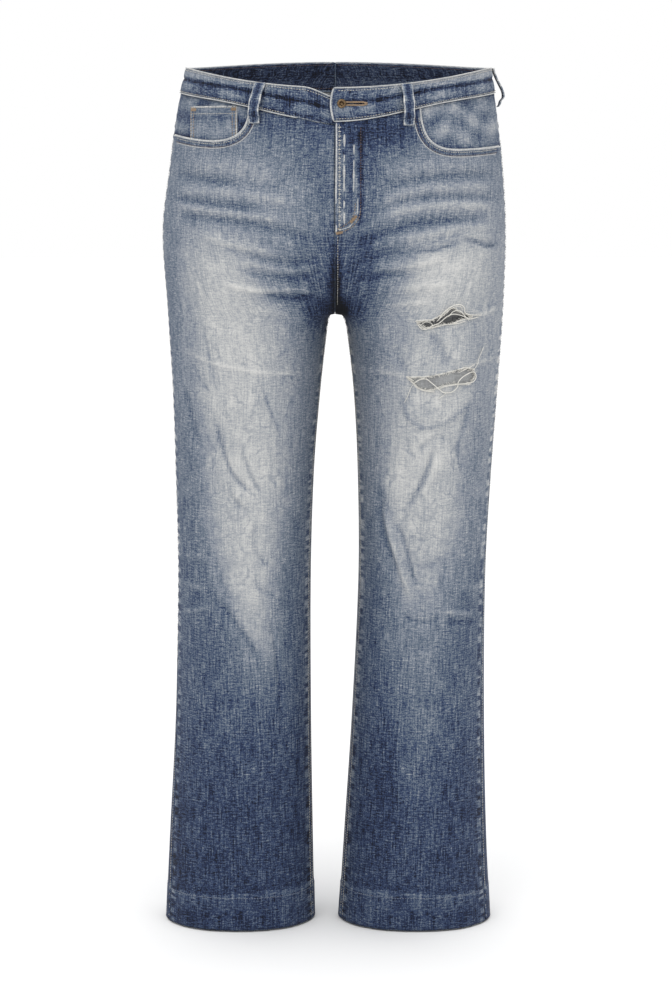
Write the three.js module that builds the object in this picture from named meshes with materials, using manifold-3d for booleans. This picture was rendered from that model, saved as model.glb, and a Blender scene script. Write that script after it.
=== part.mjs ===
// Ripped bootcut jeans, filled out as if worn, with nobody in them.
// Millimetres, +Z up. The front faces -Y and +X is the wearer's left. The origin is the middle
// of the waist, level with the top of the waistband at the sides, and the legs hang down from it.
import * as THREE from "three";
import { mergeVertices } from "three/addons/utils/BufferGeometryUtils.js";
import Module from "manifold-3d";

const wasm = await Module();
wasm.setup();

// ---- Driving dimensions ------------------------------------------------------------------

const right = 0; // the wearer's right half, at -X
const left = 1; // the wearer's left half, at +X
const direction = [-1, 1];

const denim = 1.2; // one layer of cloth
const bandThickness = 2.4; // the waistband is two layers
const seamGap = 0.4; // clear space between two pieces at a seam
const layerGap = 0.3; // clear space between a piece and what lies on it
const crotch = -305;
const hem = -1092;

// Height, then how far the outer side of the right and of the left half is from the middle.
const outerSide = [
  [20, 183, 191],
  [0, 185, 194],
  [-50, 197, 202],
  [-120, 207, 210],
  [-200, 217, 215],
  [-300, 212, 213],
  [-405, 206, 206],
  [-510, 203, 199],
  [-640, 201, 193],
  [-820, 206, 193],
  [-980, 215, 197],
  [hem, 221, 203],
];

// The same for the inner side of each leg.
const innerSide = [
  [crotch, 8, 12],
  [-330, 11, 16],
  [-405, 19, 24],
  [-510, 27, 29],
  [-640, 31, 30],
  [-820, 31, 22],
  [-980, 29, 12],
  [hem, 27, 5],
];
const archDrop = 5; // how quickly the gap between the legs opens below the crotch

// Each half is an oval that runs into the other one down to the crotch, and parts from it below:
// height, then the distance of its middle from x = 0 as a share of its half width.
const parting = [
  [20, 0, 0],
  [-130, 0, 0],
  [-165, 0.1, 0.1],
  [-200, 0.27, 0.27],
  [-230, 0.46, 0.46],
  [-255, 0.63, 0.63],
  [-280, 0.79, 0.79],
  [crotch, 0.94, 0.94],
  [-330, 1.045, 1.06],
  [-360, 1.13, 1.16],
  [-405, 1.203, 1.264],
];
const partedBelow = -405; // from here down the inner side of a leg is its oval's own
const pinchReach = 48; // above that the inner side is pressed out of the oval, this far in

// Height, y of the middle of the oval, then how far the front and the back stand from it.
const depths = [
  [20, 2, 119, 111],
  [0, 2, 122, 112],
  [-50, 3, 127, 118],
  [-120, 5, 132, 131],
  [-200, 8, 132, 138],
  [-260, 11, 127, 128],
  [crotch, 13, 120, 115],
  [-405, 8, 106, 98],
  [-510, 4, 92, 88],
  [-640, 2, 82, 80],
  [-820, 4, 77, 78],
  [hem, 5, 75, 75],
];
const squareness = 0.03; // how much fuller than an ellipse an oval is between its axes

const valleyWidth = 32; // the cloth spans the valley between the two halves this far out
const valleySlope = 0.9;
const valleyFade = 45; // height above the crotch over which that span fades in

// Height, then the angle by which the outer seam of each leg lies in front of its side.
const outerSeam = [
  [20, 0.02, 0.0],
  [-300, 0.04, 0.1],
  [-640, 0.1, 0.3],
  [-900, 0.3, 0.38],
  [hem, 0.38, 0.42],
];
// Height, then the angle by which the inseam lies in front of the inner side.
const innerSeam = [
  [crotch, 0, 0],
  [-345, 0.08, 0.08],
  [-510, 0.2, 0.2],
  [hem, 0.26, 0.26],
];

const frontDip = 27; // the waistband's top is this much lower at the middle of the front
const backRise = 11; // and this much higher at the middle of the back
const bandHeight = 30; // of the waistband at the sides
const frontDeepening = 37; // its lower edge is this much lower at the middle of the front
const backShortening = 4; // and this much higher at the middle of the back
const yokeSide = 44; // depth of the back yoke at the side
const yokeMiddle = 72; // and at the middle of the back

// Broad folds: half, height and angle of the middle, half length, half width in angle, height
// out of the cloth, and how far the angle drifts over the half length.
const broadFolds = [
  [left, -430, 1.15, 150, 0.3, 3.2, -0.12],
  [left, -600, 1.85, 120, 0.28, -2.6, 0.1],
  [left, -760, 1.2, 170, 0.3, 2.4, 0.08],
  [right, -470, 1.3, 170, 0.3, -2.8, 0.16],
  [right, -600, 1.95, 140, 0.28, 3, 0.12],
  [right, -800, 1.4, 160, 0.3, 2.2, -0.06],
  [left, -640, -1.5, 130, 0.4, -3, 0],
  [right, -640, -1.5, 130, 0.4, -3, 0],
];

// ---- The form of the garment -------------------------------------------------------------

const mix = (a, b, t) => a + (b - a) * t;
const clamp = (t, low = 0, high = 1) => Math.min(high, Math.max(low, t));
const smooth = (t) => clamp(t) ** 2 * (3 - 2 * clamp(t));

// A smooth curve through a table of rows that go down in height, read at height z.
function along(table, column, z) {
  const last = table.length - 1;
  let i = 0;
  while (i < last - 1 && z < table[i + 1][0]) i++;
  const slope = (a, b) =>
    (table[b][column] - table[a][column]) / (table[b][0] - table[a][0]);
  const span = table[i + 1][0] - table[i][0];
  const t = clamp((z - table[i][0]) / span);
  const startSlope = slope(Math.max(i - 1, 0), i + 1) * span;
  const endSlope = slope(i, Math.min(i + 2, last)) * span;
  const [a, b] = [table[i][column], table[i + 1][column]];
  return (
    a * (1 + 2 * t) * (1 - t) ** 2 +
    startSlope * t * (1 - t) ** 2 +
    b * t * t * (3 - 2 * t) +
    endSlope * t * t * (t - 1)
  );
}

// How far the inner side of a leg is from the middle.
function innerEdge(half, z) {
  const opening = Math.sqrt(1 - Math.exp(-(crotch - z) / archDrop));
  return along(innerSide, half + 1, z) * opening;
}

// The oval of one half at one height.
function section(half, z) {
  const outer = along(outerSide, half + 1, z);
  const oval = {
    middle: along(depths, 1, z),
    front: along(depths, 2, z),
    back: along(depths, 3, z),
  };
  if (z < partedBelow) {
    const inner = innerEdge(half, z);
    return { ...oval, centre: (outer + inner) / 2, width: (outer - inner) / 2 };
  }
  const share = Math.max(0, along(parting, half + 1, z));
  const width = outer / (1 + share);
  return { ...oval, centre: width * share, width };
}

// The angle at which a panel ends: just short of the plane x = 0 above the crotch, and just
// short of the inseam below it.
function endAngle(half, z, facing) {
  const { centre, width } = section(half, z);
  if (z >= crotch) return facing * Math.acos((seamGap / 2 - centre) / width);
  const turn = along(innerSeam, half + 1, z);
  return facing > 0 ? Math.PI - turn : -Math.PI - turn;
}

// A point of the cloth's outer face. The angle is 0 at the side, positive round the front.
function basePoint(half, z, angle) {
  const { centre, width, middle, front, back } = section(half, z);
  const facing = Math.sin(angle) > 0 ? 1 : -1;
  const depth = facing > 0 ? front : back;
  const fullness = 1 + squareness * Math.sin(2 * angle) ** 2;
  let x = centre + width * Math.cos(angle);
  let y = middle - depth * Math.sin(angle) * fullness;
  if (z > crotch && x < valleyWidth) {
    const end = Math.acos(-centre / width);
    const steep = Math.abs((depth * Math.cos(end)) / (width * Math.sin(end)));
    const fill = (Math.min(steep, valleySlope) * valleyWidth) / 2;
    const fade = clamp((z - crotch) / valleyFade);
    y -= facing * fill * fade * (1 - x / valleyWidth) ** 2;
  }
  if (z < crotch && z > partedBelow) {
    const inner = centre - width;
    const press = clamp(1 - (x - inner) / pinchReach) ** 2;
    x += (innerEdge(half, z) - inner) * press;
  }
  return new THREE.Vector3(direction[half] * x, y, z);
}

// The outward direction of the cloth at a point.
function outward(half, z, angle) {
  const step = 0.004;
  const across = basePoint(half, z, angle + step).sub(
    basePoint(half, z, angle - step),
  );
  const down = basePoint(half, z - 1, angle).sub(basePoint(half, z + 1, angle));
  return across.cross(down).multiplyScalar(direction[half]).normalize();
}

// How far the broad folds move the cloth out.
function foldHeight(half, z, angle) {
  let height = 0;
  for (const [which, top, turn, reach, spread, rise, drift] of broadFolds) {
    if (which !== half) continue;
    const lengthwise = (z - top) / reach;
    const crosswise = (angle - turn - drift * lengthwise) / spread;
    height += rise * Math.exp(-(lengthwise ** 2) - crosswise ** 2);
  }
  return height;
}

// A point at a distance out of the main cloth's outer face.
function clothPoint(half, z, angle, out = 0) {
  const away = outward(half, z, angle);
  return basePoint(half, z, angle).addScaledVector(
    away,
    out + foldHeight(half, z, angle),
  );
}

// The angle of the front of a half where it is x from the middle.
function angleAt(half, z, x) {
  const { centre, width } = section(half, z);
  return Math.acos(clamp((x - centre) / width, -1, 1));
}

// The height of the waistband's top and lower edges at an angle.
function bandTop(angle) {
  const lift = Math.sin(angle) > 0 ? -frontDip : backRise;
  return lift * Math.sin(angle) ** 2;
}
function bandBottom(angle) {
  const turn = Math.sin(angle);
  if (turn < 0) return backShortening * turn ** 2 - bandHeight;
  return -bandHeight - (frontDeepening * (turn ** 1.5 + turn ** 8)) / 2;
}

// The right end of the waistband, which runs on under the tab, hangs lower: how much lower its
// top and its lower edge are at a distance from the middle, positive on the right.
const topSag = (x) => 14 * smooth((38 - x) / 50);
const bottomSag = (x) => 4.5 * clamp((38 - x) / 40);

// The height of the yoke's lower edge at an angle of the back.
function yokeBottom(angle) {
  const share = clamp(-angle / (Math.PI / 2));
  return bandBottom(angle) - seamGap - mix(yokeSide, yokeMiddle, share);
}

// ---- Walls of cloth ----------------------------------------------------------------------

// A closed wall over a grid: place(across, down) gives its outer and its inner point, for
// shares from 0 to 1. A tube meets itself across.
function wall(columns, rows, place, tube = false) {
  const positions = [];
  const across = tube ? columns : columns + 1;
  for (const layer of [0, 1])
    for (let j = 0; j <= rows; j++)
      for (let i = 0; i < across; i++)
        positions.push(...place(i / columns, j / rows)[layer].toArray());
  const at = (layer, i, j) => (layer * (rows + 1) + j) * across + (i % across);
  const index = [];
  const face = (a, b, c, d) => index.push(a, b, c, a, c, d);
  for (let j = 0; j < rows; j++)
    for (let i = 0; i < columns; i++) {
      face(at(0, i, j), at(0, i, j + 1), at(0, i + 1, j + 1), at(0, i + 1, j));
      face(at(1, i, j), at(1, i + 1, j), at(1, i + 1, j + 1), at(1, i, j + 1));
    }
  for (let i = 0; i < columns; i++) {
    face(at(0, i, 0), at(0, i + 1, 0), at(1, i + 1, 0), at(1, i, 0));
    face(at(0, i, rows), at(1, i, rows), at(1, i + 1, rows), at(0, i + 1, rows));
  }
  for (let j = 0; !tube && j < rows; j++) {
    face(at(0, 0, j), at(1, 0, j), at(1, 0, j + 1), at(0, 0, j + 1));
    face(
      at(0, columns, j),
      at(0, columns, j + 1),
      at(1, columns, j + 1),
      at(1, columns, j),
    );
  }
  return turnedOut(positions, index);
}

// A geometry with its faces turned out, whichever way its grid ran.
function turnedOut(positions, index) {
  const corner = (i) => new THREE.Vector3().fromArray(positions, 3 * index[i]);
  let volume = 0;
  for (let i = 0; i < index.length; i += 3)
    volume += corner(i).dot(corner(i + 1).cross(corner(i + 2)));
  if (volume < 0)
    for (let i = 0; i < index.length; i += 3)
      [index[i], index[i + 1]] = [index[i + 1], index[i]];
  const geometry = new THREE.BufferGeometry();
  geometry.setAttribute("position", new THREE.Float32BufferAttribute(positions, 3));
  geometry.setIndex(index);
  return geometry;
}

function toSolid(geometry) {
  const bare = geometry.clone();
  bare.deleteAttribute("normal");
  bare.deleteAttribute("uv");
  const merged = mergeVertices(bare, 1e-3);
  return new wasm.Manifold(
    new wasm.Mesh({
      numProp: 3,
      vertProperties: new Float32Array(merged.attributes.position.array),
      triVerts: new Uint32Array(merged.index.array),
    }),
  );
}

function fromSolid(solid) {
  const mesh = solid.getMesh();
  return new THREE.BufferGeometry()
    .setAttribute("position", new THREE.BufferAttribute(mesh.vertProperties, 3))
    .setIndex(new THREE.BufferAttribute(mesh.triVerts, 1));
}

// A block with an outline of x and z, from the front to past the sides, or from there to the
// back.
function block(shape, facing, curveSegments = 6) {
  const blade = new THREE.ExtrudeGeometry(shape, {
    depth: 240,
    bevelEnabled: false,
    curveSegments,
  });
  blade.rotateX(Math.PI / 2).translate(0, facing > 0 ? 40 : 240, 0);
  return toSolid(blade);
}
const cutThrough = (geometry, shape, curveSegments) =>
  fromSolid(toSolid(geometry).subtract(block(shape, 1, curveSegments)));

// ---- Materials ---------------------------------------------------------------------------

const clothMaterial = (color) =>
  new THREE.MeshStandardMaterial({ color, roughness: 0.9, metalness: 0 });
const washed = clothMaterial(0x6f7f9b); // the worn indigo of what shows
const dark = clothMaterial(0x3d4b6b); // the unfaded indigo of hems and inner layers
const pale = clothMaterial(0xb4b8bc); // the patch behind the lower tear
const brass = new THREE.MeshStandardMaterial({
  color: 0x8a6a45,
  roughness: 0.4,
  metalness: 1,
});

const jeans = new THREE.Group();
jeans.name = "ripped_jeans";

function add(name, geometry, material) {
  const mesh = new THREE.Mesh(geometry, material);
  mesh.name = name;
  jeans.add(mesh);
}

const halves = [right, left];
const sideName = ["right", "left"];

// ---- Front and back panels ---------------------------------------------------------------

// Rows of a panel: shares of the way from its top edge down to the crotch, then drops below it.
// They stand close together where the legs part.
const sharesAbove = [0, 0.16, 0.32, 0.48, 0.63, 0.76, 0.87, 0.95, 0.99];
const dropsBelow = [
  0.003, 2, 7, 18, 40, 70, 105, 145, 185, 230, 275, 320, 365, 410, 460, 520, 590, 665, 741,
];

// Columns of a panel: this share of them keeps its even spacing where the legs part, and the
// rest spreads over the inner side of the leg.
const evenShare = 11 / 13;
const crotchEnd = 2.79; // the angle at which panels end just above the crotch
const evenAgain = 100; // how far below it the spacing is even all the way across again

// A share of the way from the outer seam to the middle or the inseam, as an angle that is half
// a seam gap clear of both.
function seamToSeam(half, z, facing, across) {
  const { width, front, back } = section(half, z);
  const depth = facing > 0 ? front : back;
  const clear = (angle) =>
    seamGap / 2 / Math.hypot(width * Math.sin(angle), depth * Math.cos(angle));
  const start = along(outerSeam, half + 1, z);
  const end = endAngle(half, z, facing);
  const first = start + facing * clear(start);
  const last = end - facing * clear(end);
  const fade = z < crotch ? smooth((crotch - z) / evenAgain) : 1;
  const evenLast = mix(facing * crotchEnd, last, fade);
  if (across <= evenShare) return mix(first, evenLast, across);
  const beyond = (across - evenShare) / (1 - evenShare);
  return mix(mix(first, evenLast, evenShare), last, beyond);
}

// The top edge of what hangs from the waistband, which sags with the band on the right.
function hangingTop(half, angle) {
  const x = half === right && angle > 0 ? section(half, -60).width * Math.cos(angle) : 99;
  return bandBottom(angle) - seamGap - bottomSag(x);
}

const panelColumns = { 1: 13, [-1]: 12 }; // of a front and of a back
const panelRows = sharesAbove.length + dropsBelow.length;

// A point of a panel's grid: a whole column out from the seam and a whole row down.
function panelPoint(half, facing, column, row, out) {
  const across = column / panelColumns[facing];
  let z = hem;
  if (row < sharesAbove.length) {
    const rough = facing * across * (Math.PI / 2);
    const top = facing > 0 ? hangingTop(half, rough) : yokeBottom(rough) - seamGap;
    z = mix(top, crotch, sharesAbove[row]);
  } else if (row < panelRows) {
    z = crotch - dropsBelow[row - sharesAbove.length];
  }
  return clothPoint(half, z, seamToSeam(half, z, facing, across), out);
}

// A whole front or back leg, its outer face this far out of the panels.
function longPanel(half, facing, out = 0, thickness = denim) {
  const columns = panelColumns[facing];
  return wall(columns, panelRows, (across, down) =>
    [out, out - thickness].map((away) =>
      panelPoint(half, facing, across * columns, Math.round(down * panelRows), away),
    ),
  );
}

// A piece that lies along a panel, inside or outside it, with an outline of x and z.
const layer = (half, facing, out, thickness, shape) =>
  fromSolid(
    toSolid(longPanel(half, facing, out, thickness)).intersect(block(shape, facing)),
  );

// The mouth of a front pocket: it leaves the waistband, turns, and runs out to the side seam.
const mouthIn = 103; // from the middle, where it leaves the waistband
const mouthLow = [-90.5, -101]; // its lowest height on each half
const mouthSide = [-76, -94]; // and its height at the side
function pocketMouth(half) {
  const side = direction[half];
  const low = mouthLow[half];
  const shape = new THREE.Shape();
  shape.moveTo(side * mouthIn, 0);
  shape.lineTo(side * mouthIn, -50);
  shape.bezierCurveTo(
    side * (mouthIn + 1.5),
    low + 14,
    side * (mouthIn + 15),
    low,
    side * (mouthIn + 46),
    low,
  );
  shape.quadraticCurveTo(side * (mouthIn + 76), low, side * 220, mouthSide[half]);
  shape.lineTo(side * 220, 0);
  shape.closePath();
  return shape;
}

// The two tears across the left thigh, as outlines of x and z.
const upperTear = [
  [100, -309],
  [109, -316],
  [118, -317],
  [129, -312.5],
  [141, -312.5],
  [152, -308],
  [168, -304],
  [160, -301],
  [151, -298],
  [146, -293],
  [140, -294],
  [134, -300],
  [119, -308],
];
const lowerTear = [
  [90, -379],
  [97, -385],
  [101, -390.5],
  [111, -394],
  [121, -393],
  [130, -389],
  [148, -386],
  [165, -387],
  [172, -379],
  [170, -370],
  [159, -367.5],
  [145, -371],
  [128, -375.5],
  [111, -378.5],
];
const outlineShape = (points, side = 1) =>
  new THREE.Shape(points.map(([x, z]) => new THREE.Vector2(side * x, z)));

for (const half of halves) {
  let front = longPanel(half, 1);
  front = cutThrough(front, pocketMouth(half));
  if (half === left)
    for (const tear of [upperTear, lowerTear])
      front = cutThrough(front, outlineShape(tear));
  add("front_" + sideName[half], front, washed);
  add("back_" + sideName[half], longPanel(half, -1), washed);
}

// ---- Yokes -------------------------------------------------------------------------------

for (const half of halves) {
  const yoke = wall(12, 2, (across, down) => {
    const rough = -across * (Math.PI / 2);
    const z = mix(hangingTop(half, rough), yokeBottom(rough), down);
    const angle = seamToSeam(half, z, -1, across);
    return [clothPoint(half, z, angle), clothPoint(half, z, angle, -denim)];
  });
  add("yoke_" + sideName[half], yoke, washed);
}

// ---- Hems: the turned-up cloth inside the foot of each leg -------------------------------

const behindPanel = -denim - layerGap; // where a layer's outer face lies inside a panel
const hemColumns = panelColumns[1] + panelColumns[-1] + 2;

for (const half of halves) {
  // Round the front from the outer seam to the inseam, and back round the back, on the last
  // two rows of the panels.
  const ring = wall(
    hemColumns,
    1,
    (across, down) => {
      const step = Math.round(across * hemColumns);
      const facing = step <= panelColumns[1] ? 1 : -1;
      const column = facing > 0 ? step : hemColumns - 1 - step;
      return [behindPanel, behindPanel - denim].map((out) =>
        panelPoint(half, facing, column, panelRows - 1 + down, out),
      );
    },
    true,
  );
  add("hem_" + sideName[half], ring, dark);
}

// ---- Waistband: two halves that meet at the middle of the back ---------------------------

const bandOut = bandThickness / 2; // how far its outer face is out of the panels
const lapEnd = 34; // the right half runs this far past the middle, under the tab
const tabEnd = 1.5; // the tab's end is this far past the middle at its corners
const tabBulge = 3.5; // and bulges this much further between them

// Half a waistband, from reach(down) past the middle of the front to the middle of the back.
// settle(x, down) gives how far a place sinks inwards and how far it sags.
function bandHalf(half, reach, settle) {
  return wall(30, 3, (across, down) => {
    const waist = section(half, 0).width;
    const start = Math.PI / 2 + Math.asin(reach(down) / waist);
    // Columns stand closer together at the front end, where the shape changes fastest.
    const angle = mix(start, seamToSeam(half, 0, -1, 1), across ** 1.25);
    const { sink, sag } = settle(angle > 0 ? waist * Math.cos(angle) : waist, down);
    const z = mix(bandTop(angle), bandBottom(angle), down) - sag;
    return [
      clothPoint(half, z, angle, bandOut - sink),
      clothPoint(half, z, angle, bandOut - sink - bandThickness),
    ];
  });
}

// The keyhole buttonhole: a round eye for the button's shank and a slot away from the edge.
const button = { x: 8, z: -46 };
const eyeRadius = 3.2;
const slotEnd = 37;
const slotHalf = 0.9;
function buttonhole() {
  const turn = Math.asin(slotHalf / eyeRadius);
  const shape = new THREE.Shape();
  shape.absarc(button.x, button.z, eyeRadius, turn, 2 * Math.PI - turn, false);
  shape.lineTo(slotEnd, button.z - slotHalf);
  shape.lineTo(slotEnd, button.z + slotHalf);
  shape.closePath();
  return shape;
}

const tabHalf = bandHalf(
  left,
  (down) => tabEnd + tabBulge * Math.sin(Math.PI * down),
  () => ({ sink: 0, sag: 0 }),
);
add("waistband_left", cutThrough(tabHalf, buttonhole(), 10), washed);

const lapHalf = bandHalf(
  right,
  () => lapEnd,
  (x, down) => ({
    sink: (bandThickness + 4 * layerGap) * smooth((24 - x) / 16),
    sag: mix(topSag(x), bottomSag(x), down),
  }),
);
add("waistband_right", lapHalf, washed);

// ---- Belt loops --------------------------------------------------------------------------

const loopWidth = 13;
const loopThickness = 2.2;
const loopFoot = 18; // how far a loop runs on below the waistband
const loopRoom = 9; // clear space between a loop and the waistband
const loopRows = [0, 0.1, 0.2, 0.3, 0.45, 0.6, 0.75, 0.84, 0.92, 1];

// A strip that stands clear of the waistband between its two ends.
function beltLoop(half, angle) {
  const { width, front, back } = section(half, -30);
  const depth = angle > 0 ? front : back;
  const perMillimetre =
    1 / Math.hypot(width * Math.sin(angle), depth * Math.cos(angle));
  return wall(2, loopRows.length - 1, (across, down) => {
    const t = loopRows[Math.round(down * (loopRows.length - 1))];
    const z = mix(bandTop(angle) - 0.5, bandBottom(angle) - loopFoot, t);
    const turn = angle + (across - 0.5) * loopWidth * perMillimetre;
    const seat = t > 0.8 ? 0 : bandOut;
    const lift = smooth(t / 0.3) * smooth((1 - t) / 0.25);
    const inner = seat + layerGap + loopRoom * lift;
    return [
      clothPoint(half, z, turn, inner + loopThickness),
      clothPoint(half, z, turn, inner),
    ];
  });
}

const middleOfBack = -Math.PI / 2;
add("loop_front_right", beltLoop(right, angleAt(right, -30, 93)), washed);
add("loop_front_left", beltLoop(left, angleAt(left, -30, 86)), washed);
add("loop_side_right", beltLoop(right, -0.36), washed);
add("loop_side_left", beltLoop(left, -0.03), washed);
add("loop_back", beltLoop(left, middleOfBack), washed);

// ---- Pocket facings and the coin pocket --------------------------------------------------

const facingInner = 91; // from the middle, past the inner side of the mouth
const facingBelow = 24; // how far it runs on below the mouth
const coinPocketThickness = 1.1;
const coinPocket = { inner: 119.5, outer: 179.5, top: -47.5, bottom: -112 };

// On the right the coin pocket lies between the facing and the front panel.
const behindCoinPocket = behindPanel - coinPocketThickness - layerGap;
const facingPlace = [behindCoinPocket, behindPanel];

// An upright rectangle on one side, from inner to outer and from top to bottom.
const rectangle = (half, { inner, outer, top, bottom }) =>
  outlineShape(
    [
      [inner, top],
      [inner, bottom],
      [outer, bottom],
      [outer, top],
    ],
    direction[half],
  );

for (const half of halves) {
  const bottom = mouthLow[half] - facingBelow;
  const shape = rectangle(half, { inner: facingInner, outer: 240, top: 0, bottom });
  const facing = layer(half, 1, facingPlace[half], denim, shape);
  add("pocket_facing_" + sideName[half], facing, dark);
}
const coin = layer(right, 1, behindPanel, coinPocketThickness, rectangle(right, coinPocket));
add("coin_pocket", coin, washed);

// ---- Fly shield: the strip behind the closed edge of the fly ------------------------------

// It spans the last column of both front panels, between two of their rows.
const shieldRows = [0.3, 1, 2, 3, 4];
const lastColumn = panelColumns[1];
const shieldColumns = [
  [right, lastColumn - 1],
  [right, lastColumn],
  [left, lastColumn],
  [left, lastColumn - 1],
];
const shieldWall = wall(3, shieldRows.length - 1, (across, down) => {
  const [half, column] = shieldColumns[Math.round(across * 3)];
  const row = shieldRows[Math.round(down * (shieldRows.length - 1))];
  return [behindPanel, behindPanel - denim].map((out) =>
    panelPoint(half, 1, column, Math.floor(row), out).lerp(
      panelPoint(half, 1, column, Math.ceil(row), out),
      row % 1,
    ),
  );
});
add("fly_shield", shieldWall, dark);

// ---- Button ------------------------------------------------------------------------------

// Radius and height of its profile. Its open centre is closed by the top of the shank.
const buttonProfile = [
  [0, -1.2],
  [2.2, -1.2],
  [2.2, 1.5],
  [4.6, 1.5],
  [5.5, 2.3],
  [5.5, 2.9],
  [4.7, 3.8],
  [3.6, 4],
  [2.6, 3.4],
  [2.3, 2.1],
  [0, 2.1],
];
const buttonAngle = angleAt(left, button.z, button.x);
const buttonGeometry = new THREE.LatheGeometry(
  buttonProfile.map(([radius, height]) => new THREE.Vector2(radius, height)),
  18,
);
const upright = new THREE.Vector3(0, 1, 0);
const buttonTurn = new THREE.Quaternion().setFromUnitVectors(
  upright,
  outward(left, button.z, buttonAngle),
);
const buttonPlace = clothPoint(left, button.z, buttonAngle);
buttonGeometry.applyQuaternion(buttonTurn).translate(...buttonPlace.toArray());
add("button", fromSolid(toSolid(buttonGeometry)), brass);

// ---- Back pockets ------------------------------------------------------------------------

const backPocket = [
  [38, -116],
  [168, -116],
  [160, -256],
  [103, -274],
  [46, -256],
];
for (const half of halves) {
  const shape = outlineShape(backPocket, direction[half]);
  const pocket = layer(half, -1, layerGap + denim, denim, shape);
  add("back_pocket_" + sideName[half], pocket, washed);
}

// ---- The patch behind the lower tear, with a rounded foot ---------------------------------

const tearPatch = new THREE.Shape();
tearPatch.moveTo(86, -354);
tearPatch.lineTo(86, -404);
tearPatch.quadraticCurveTo(90, -442, 130, -442);
tearPatch.quadraticCurveTo(172, -442, 177, -404);
tearPatch.lineTo(177, -354);
tearPatch.closePath();
add("tear_patch", layer(left, 1, behindPanel, 1, tearPatch), pale);

export default jeans;
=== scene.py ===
# Ripped bootcut jeans, filled out as if worn. Lengths in the dictionaries are millimetres.
import math
import bmesh
import bpy
import numpy as np
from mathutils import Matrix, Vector


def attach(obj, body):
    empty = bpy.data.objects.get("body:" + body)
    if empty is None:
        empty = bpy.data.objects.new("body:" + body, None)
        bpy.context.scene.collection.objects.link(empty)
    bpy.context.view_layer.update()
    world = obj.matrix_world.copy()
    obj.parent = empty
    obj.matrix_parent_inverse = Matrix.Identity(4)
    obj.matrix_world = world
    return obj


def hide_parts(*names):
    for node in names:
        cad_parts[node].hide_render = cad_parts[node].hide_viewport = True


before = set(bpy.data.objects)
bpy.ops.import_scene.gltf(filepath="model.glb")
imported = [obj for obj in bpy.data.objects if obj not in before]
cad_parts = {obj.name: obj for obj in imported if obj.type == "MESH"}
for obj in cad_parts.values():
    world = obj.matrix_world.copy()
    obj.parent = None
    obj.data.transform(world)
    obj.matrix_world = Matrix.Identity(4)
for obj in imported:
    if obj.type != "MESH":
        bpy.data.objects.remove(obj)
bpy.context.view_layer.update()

rng = np.random.default_rng(7)
right, left = 0, 1  # the wearer's
sideWord = ["right", "left"]
direction = [-1, 1]
front, back = 1, -1

# the cut and the filled-out form, the same as the solids'
form = {
    "denim": 1.2,
    "seamGap": 0.4,
    "crotch": -305.0,
    "hem": -1092.0,
    "archDrop": 5.0,
    "partedBelow": -405.0,
    "pinchReach": 48.0,
    "squareness": 0.03,
    "valleyWidth": 32.0,
    "valleySlope": 0.9,
    "valleyFade": 45.0,
    "outerSide": [  # height, right, left
        [20, 183, 191], [0, 185, 194], [-50, 197, 202], [-120, 207, 210],
        [-200, 217, 215], [-300, 212, 213], [-405, 206, 206], [-510, 203, 199],
        [-640, 201, 193], [-820, 206, 193], [-980, 215, 197], [-1092, 221, 203],
    ],
    "innerSide": [
        [-305, 8, 12], [-330, 11, 16], [-405, 19, 24], [-510, 27, 29],
        [-640, 31, 30], [-820, 31, 22], [-980, 29, 12], [-1092, 27, 5],
    ],
    "parting": [
        [20, 0, 0], [-130, 0, 0], [-165, 0.1, 0.1], [-200, 0.27, 0.27],
        [-230, 0.46, 0.46], [-255, 0.63, 0.63], [-280, 0.79, 0.79],
        [-305, 0.94, 0.94], [-330, 1.045, 1.06], [-360, 1.13, 1.16],
        [-405, 1.203, 1.264],
    ],
    "depths": [  # height, y of the middle, front, back
        [20, 2, 119, 111], [0, 2, 122, 112], [-50, 3, 127, 118],
        [-120, 5, 132, 131], [-200, 8, 132, 138], [-260, 11, 127, 128],
        [-305, 13, 120, 115], [-405, 8, 106, 98], [-510, 4, 92, 88],
        [-640, 2, 82, 80], [-820, 4, 77, 78], [-1092, 5, 75, 75],
    ],
    "outerSeam": [
        [20, 0.02, 0.0], [-300, 0.04, 0.1], [-640, 0.1, 0.3],
        [-900, 0.3, 0.38], [-1092, 0.38, 0.42],
    ],
    "innerSeam": [
        [-305, 0, 0], [-345, 0.08, 0.08], [-510, 0.2, 0.2], [-1092, 0.26, 0.26],
    ],
}

# half, height and angle of the middle, half length, half width, height, drift
broadFolds = [
    [left, -430, 1.15, 150, 0.3, 3.2, -0.12],
    [left, -600, 1.85, 120, 0.28, -2.6, 0.1],
    [left, -760, 1.2, 170, 0.3, 2.4, 0.08],
    [right, -470, 1.3, 170, 0.3, -2.8, 0.16],
    [right, -600, 1.95, 140, 0.28, 3, 0.12],
    [right, -800, 1.4, 160, 0.3, 2.2, -0.06],
    [left, -640, -1.5, 130, 0.4, -3, 0],
    [right, -640, -1.5, 130, 0.4, -3, 0],
]


def mix(a, b, t):
    return a + (b - a) * t


def smooth(t):
    t = np.clip(t, 0, 1)
    return t * t * (3 - 2 * t)


def bell(value, width):
    return np.exp(-(value / width) ** 2)


def along(table, column, z):
    rows = np.asarray(table, float)
    heights, values = rows[:, 0], rows[:, column]
    last = len(rows) - 1
    z = np.asarray(z, float)
    i = np.clip(np.searchsorted(-heights[1:], -z, side="left"), 0, last - 1)

    def slope(a, b):
        return (values[b] - values[a]) / (heights[b] - heights[a])

    span = heights[i + 1] - heights[i]
    t = np.clip((z - heights[i]) / span, 0, 1)
    startSlope = slope(np.maximum(i - 1, 0), i + 1) * span
    endSlope = slope(i, np.minimum(i + 2, last)) * span
    return (
        values[i] * (1 + 2 * t) * (1 - t) ** 2
        + startSlope * t * (1 - t) ** 2
        + values[i + 1] * t * t * (3 - 2 * t)
        + endSlope * t * t * (t - 1)
    )


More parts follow.
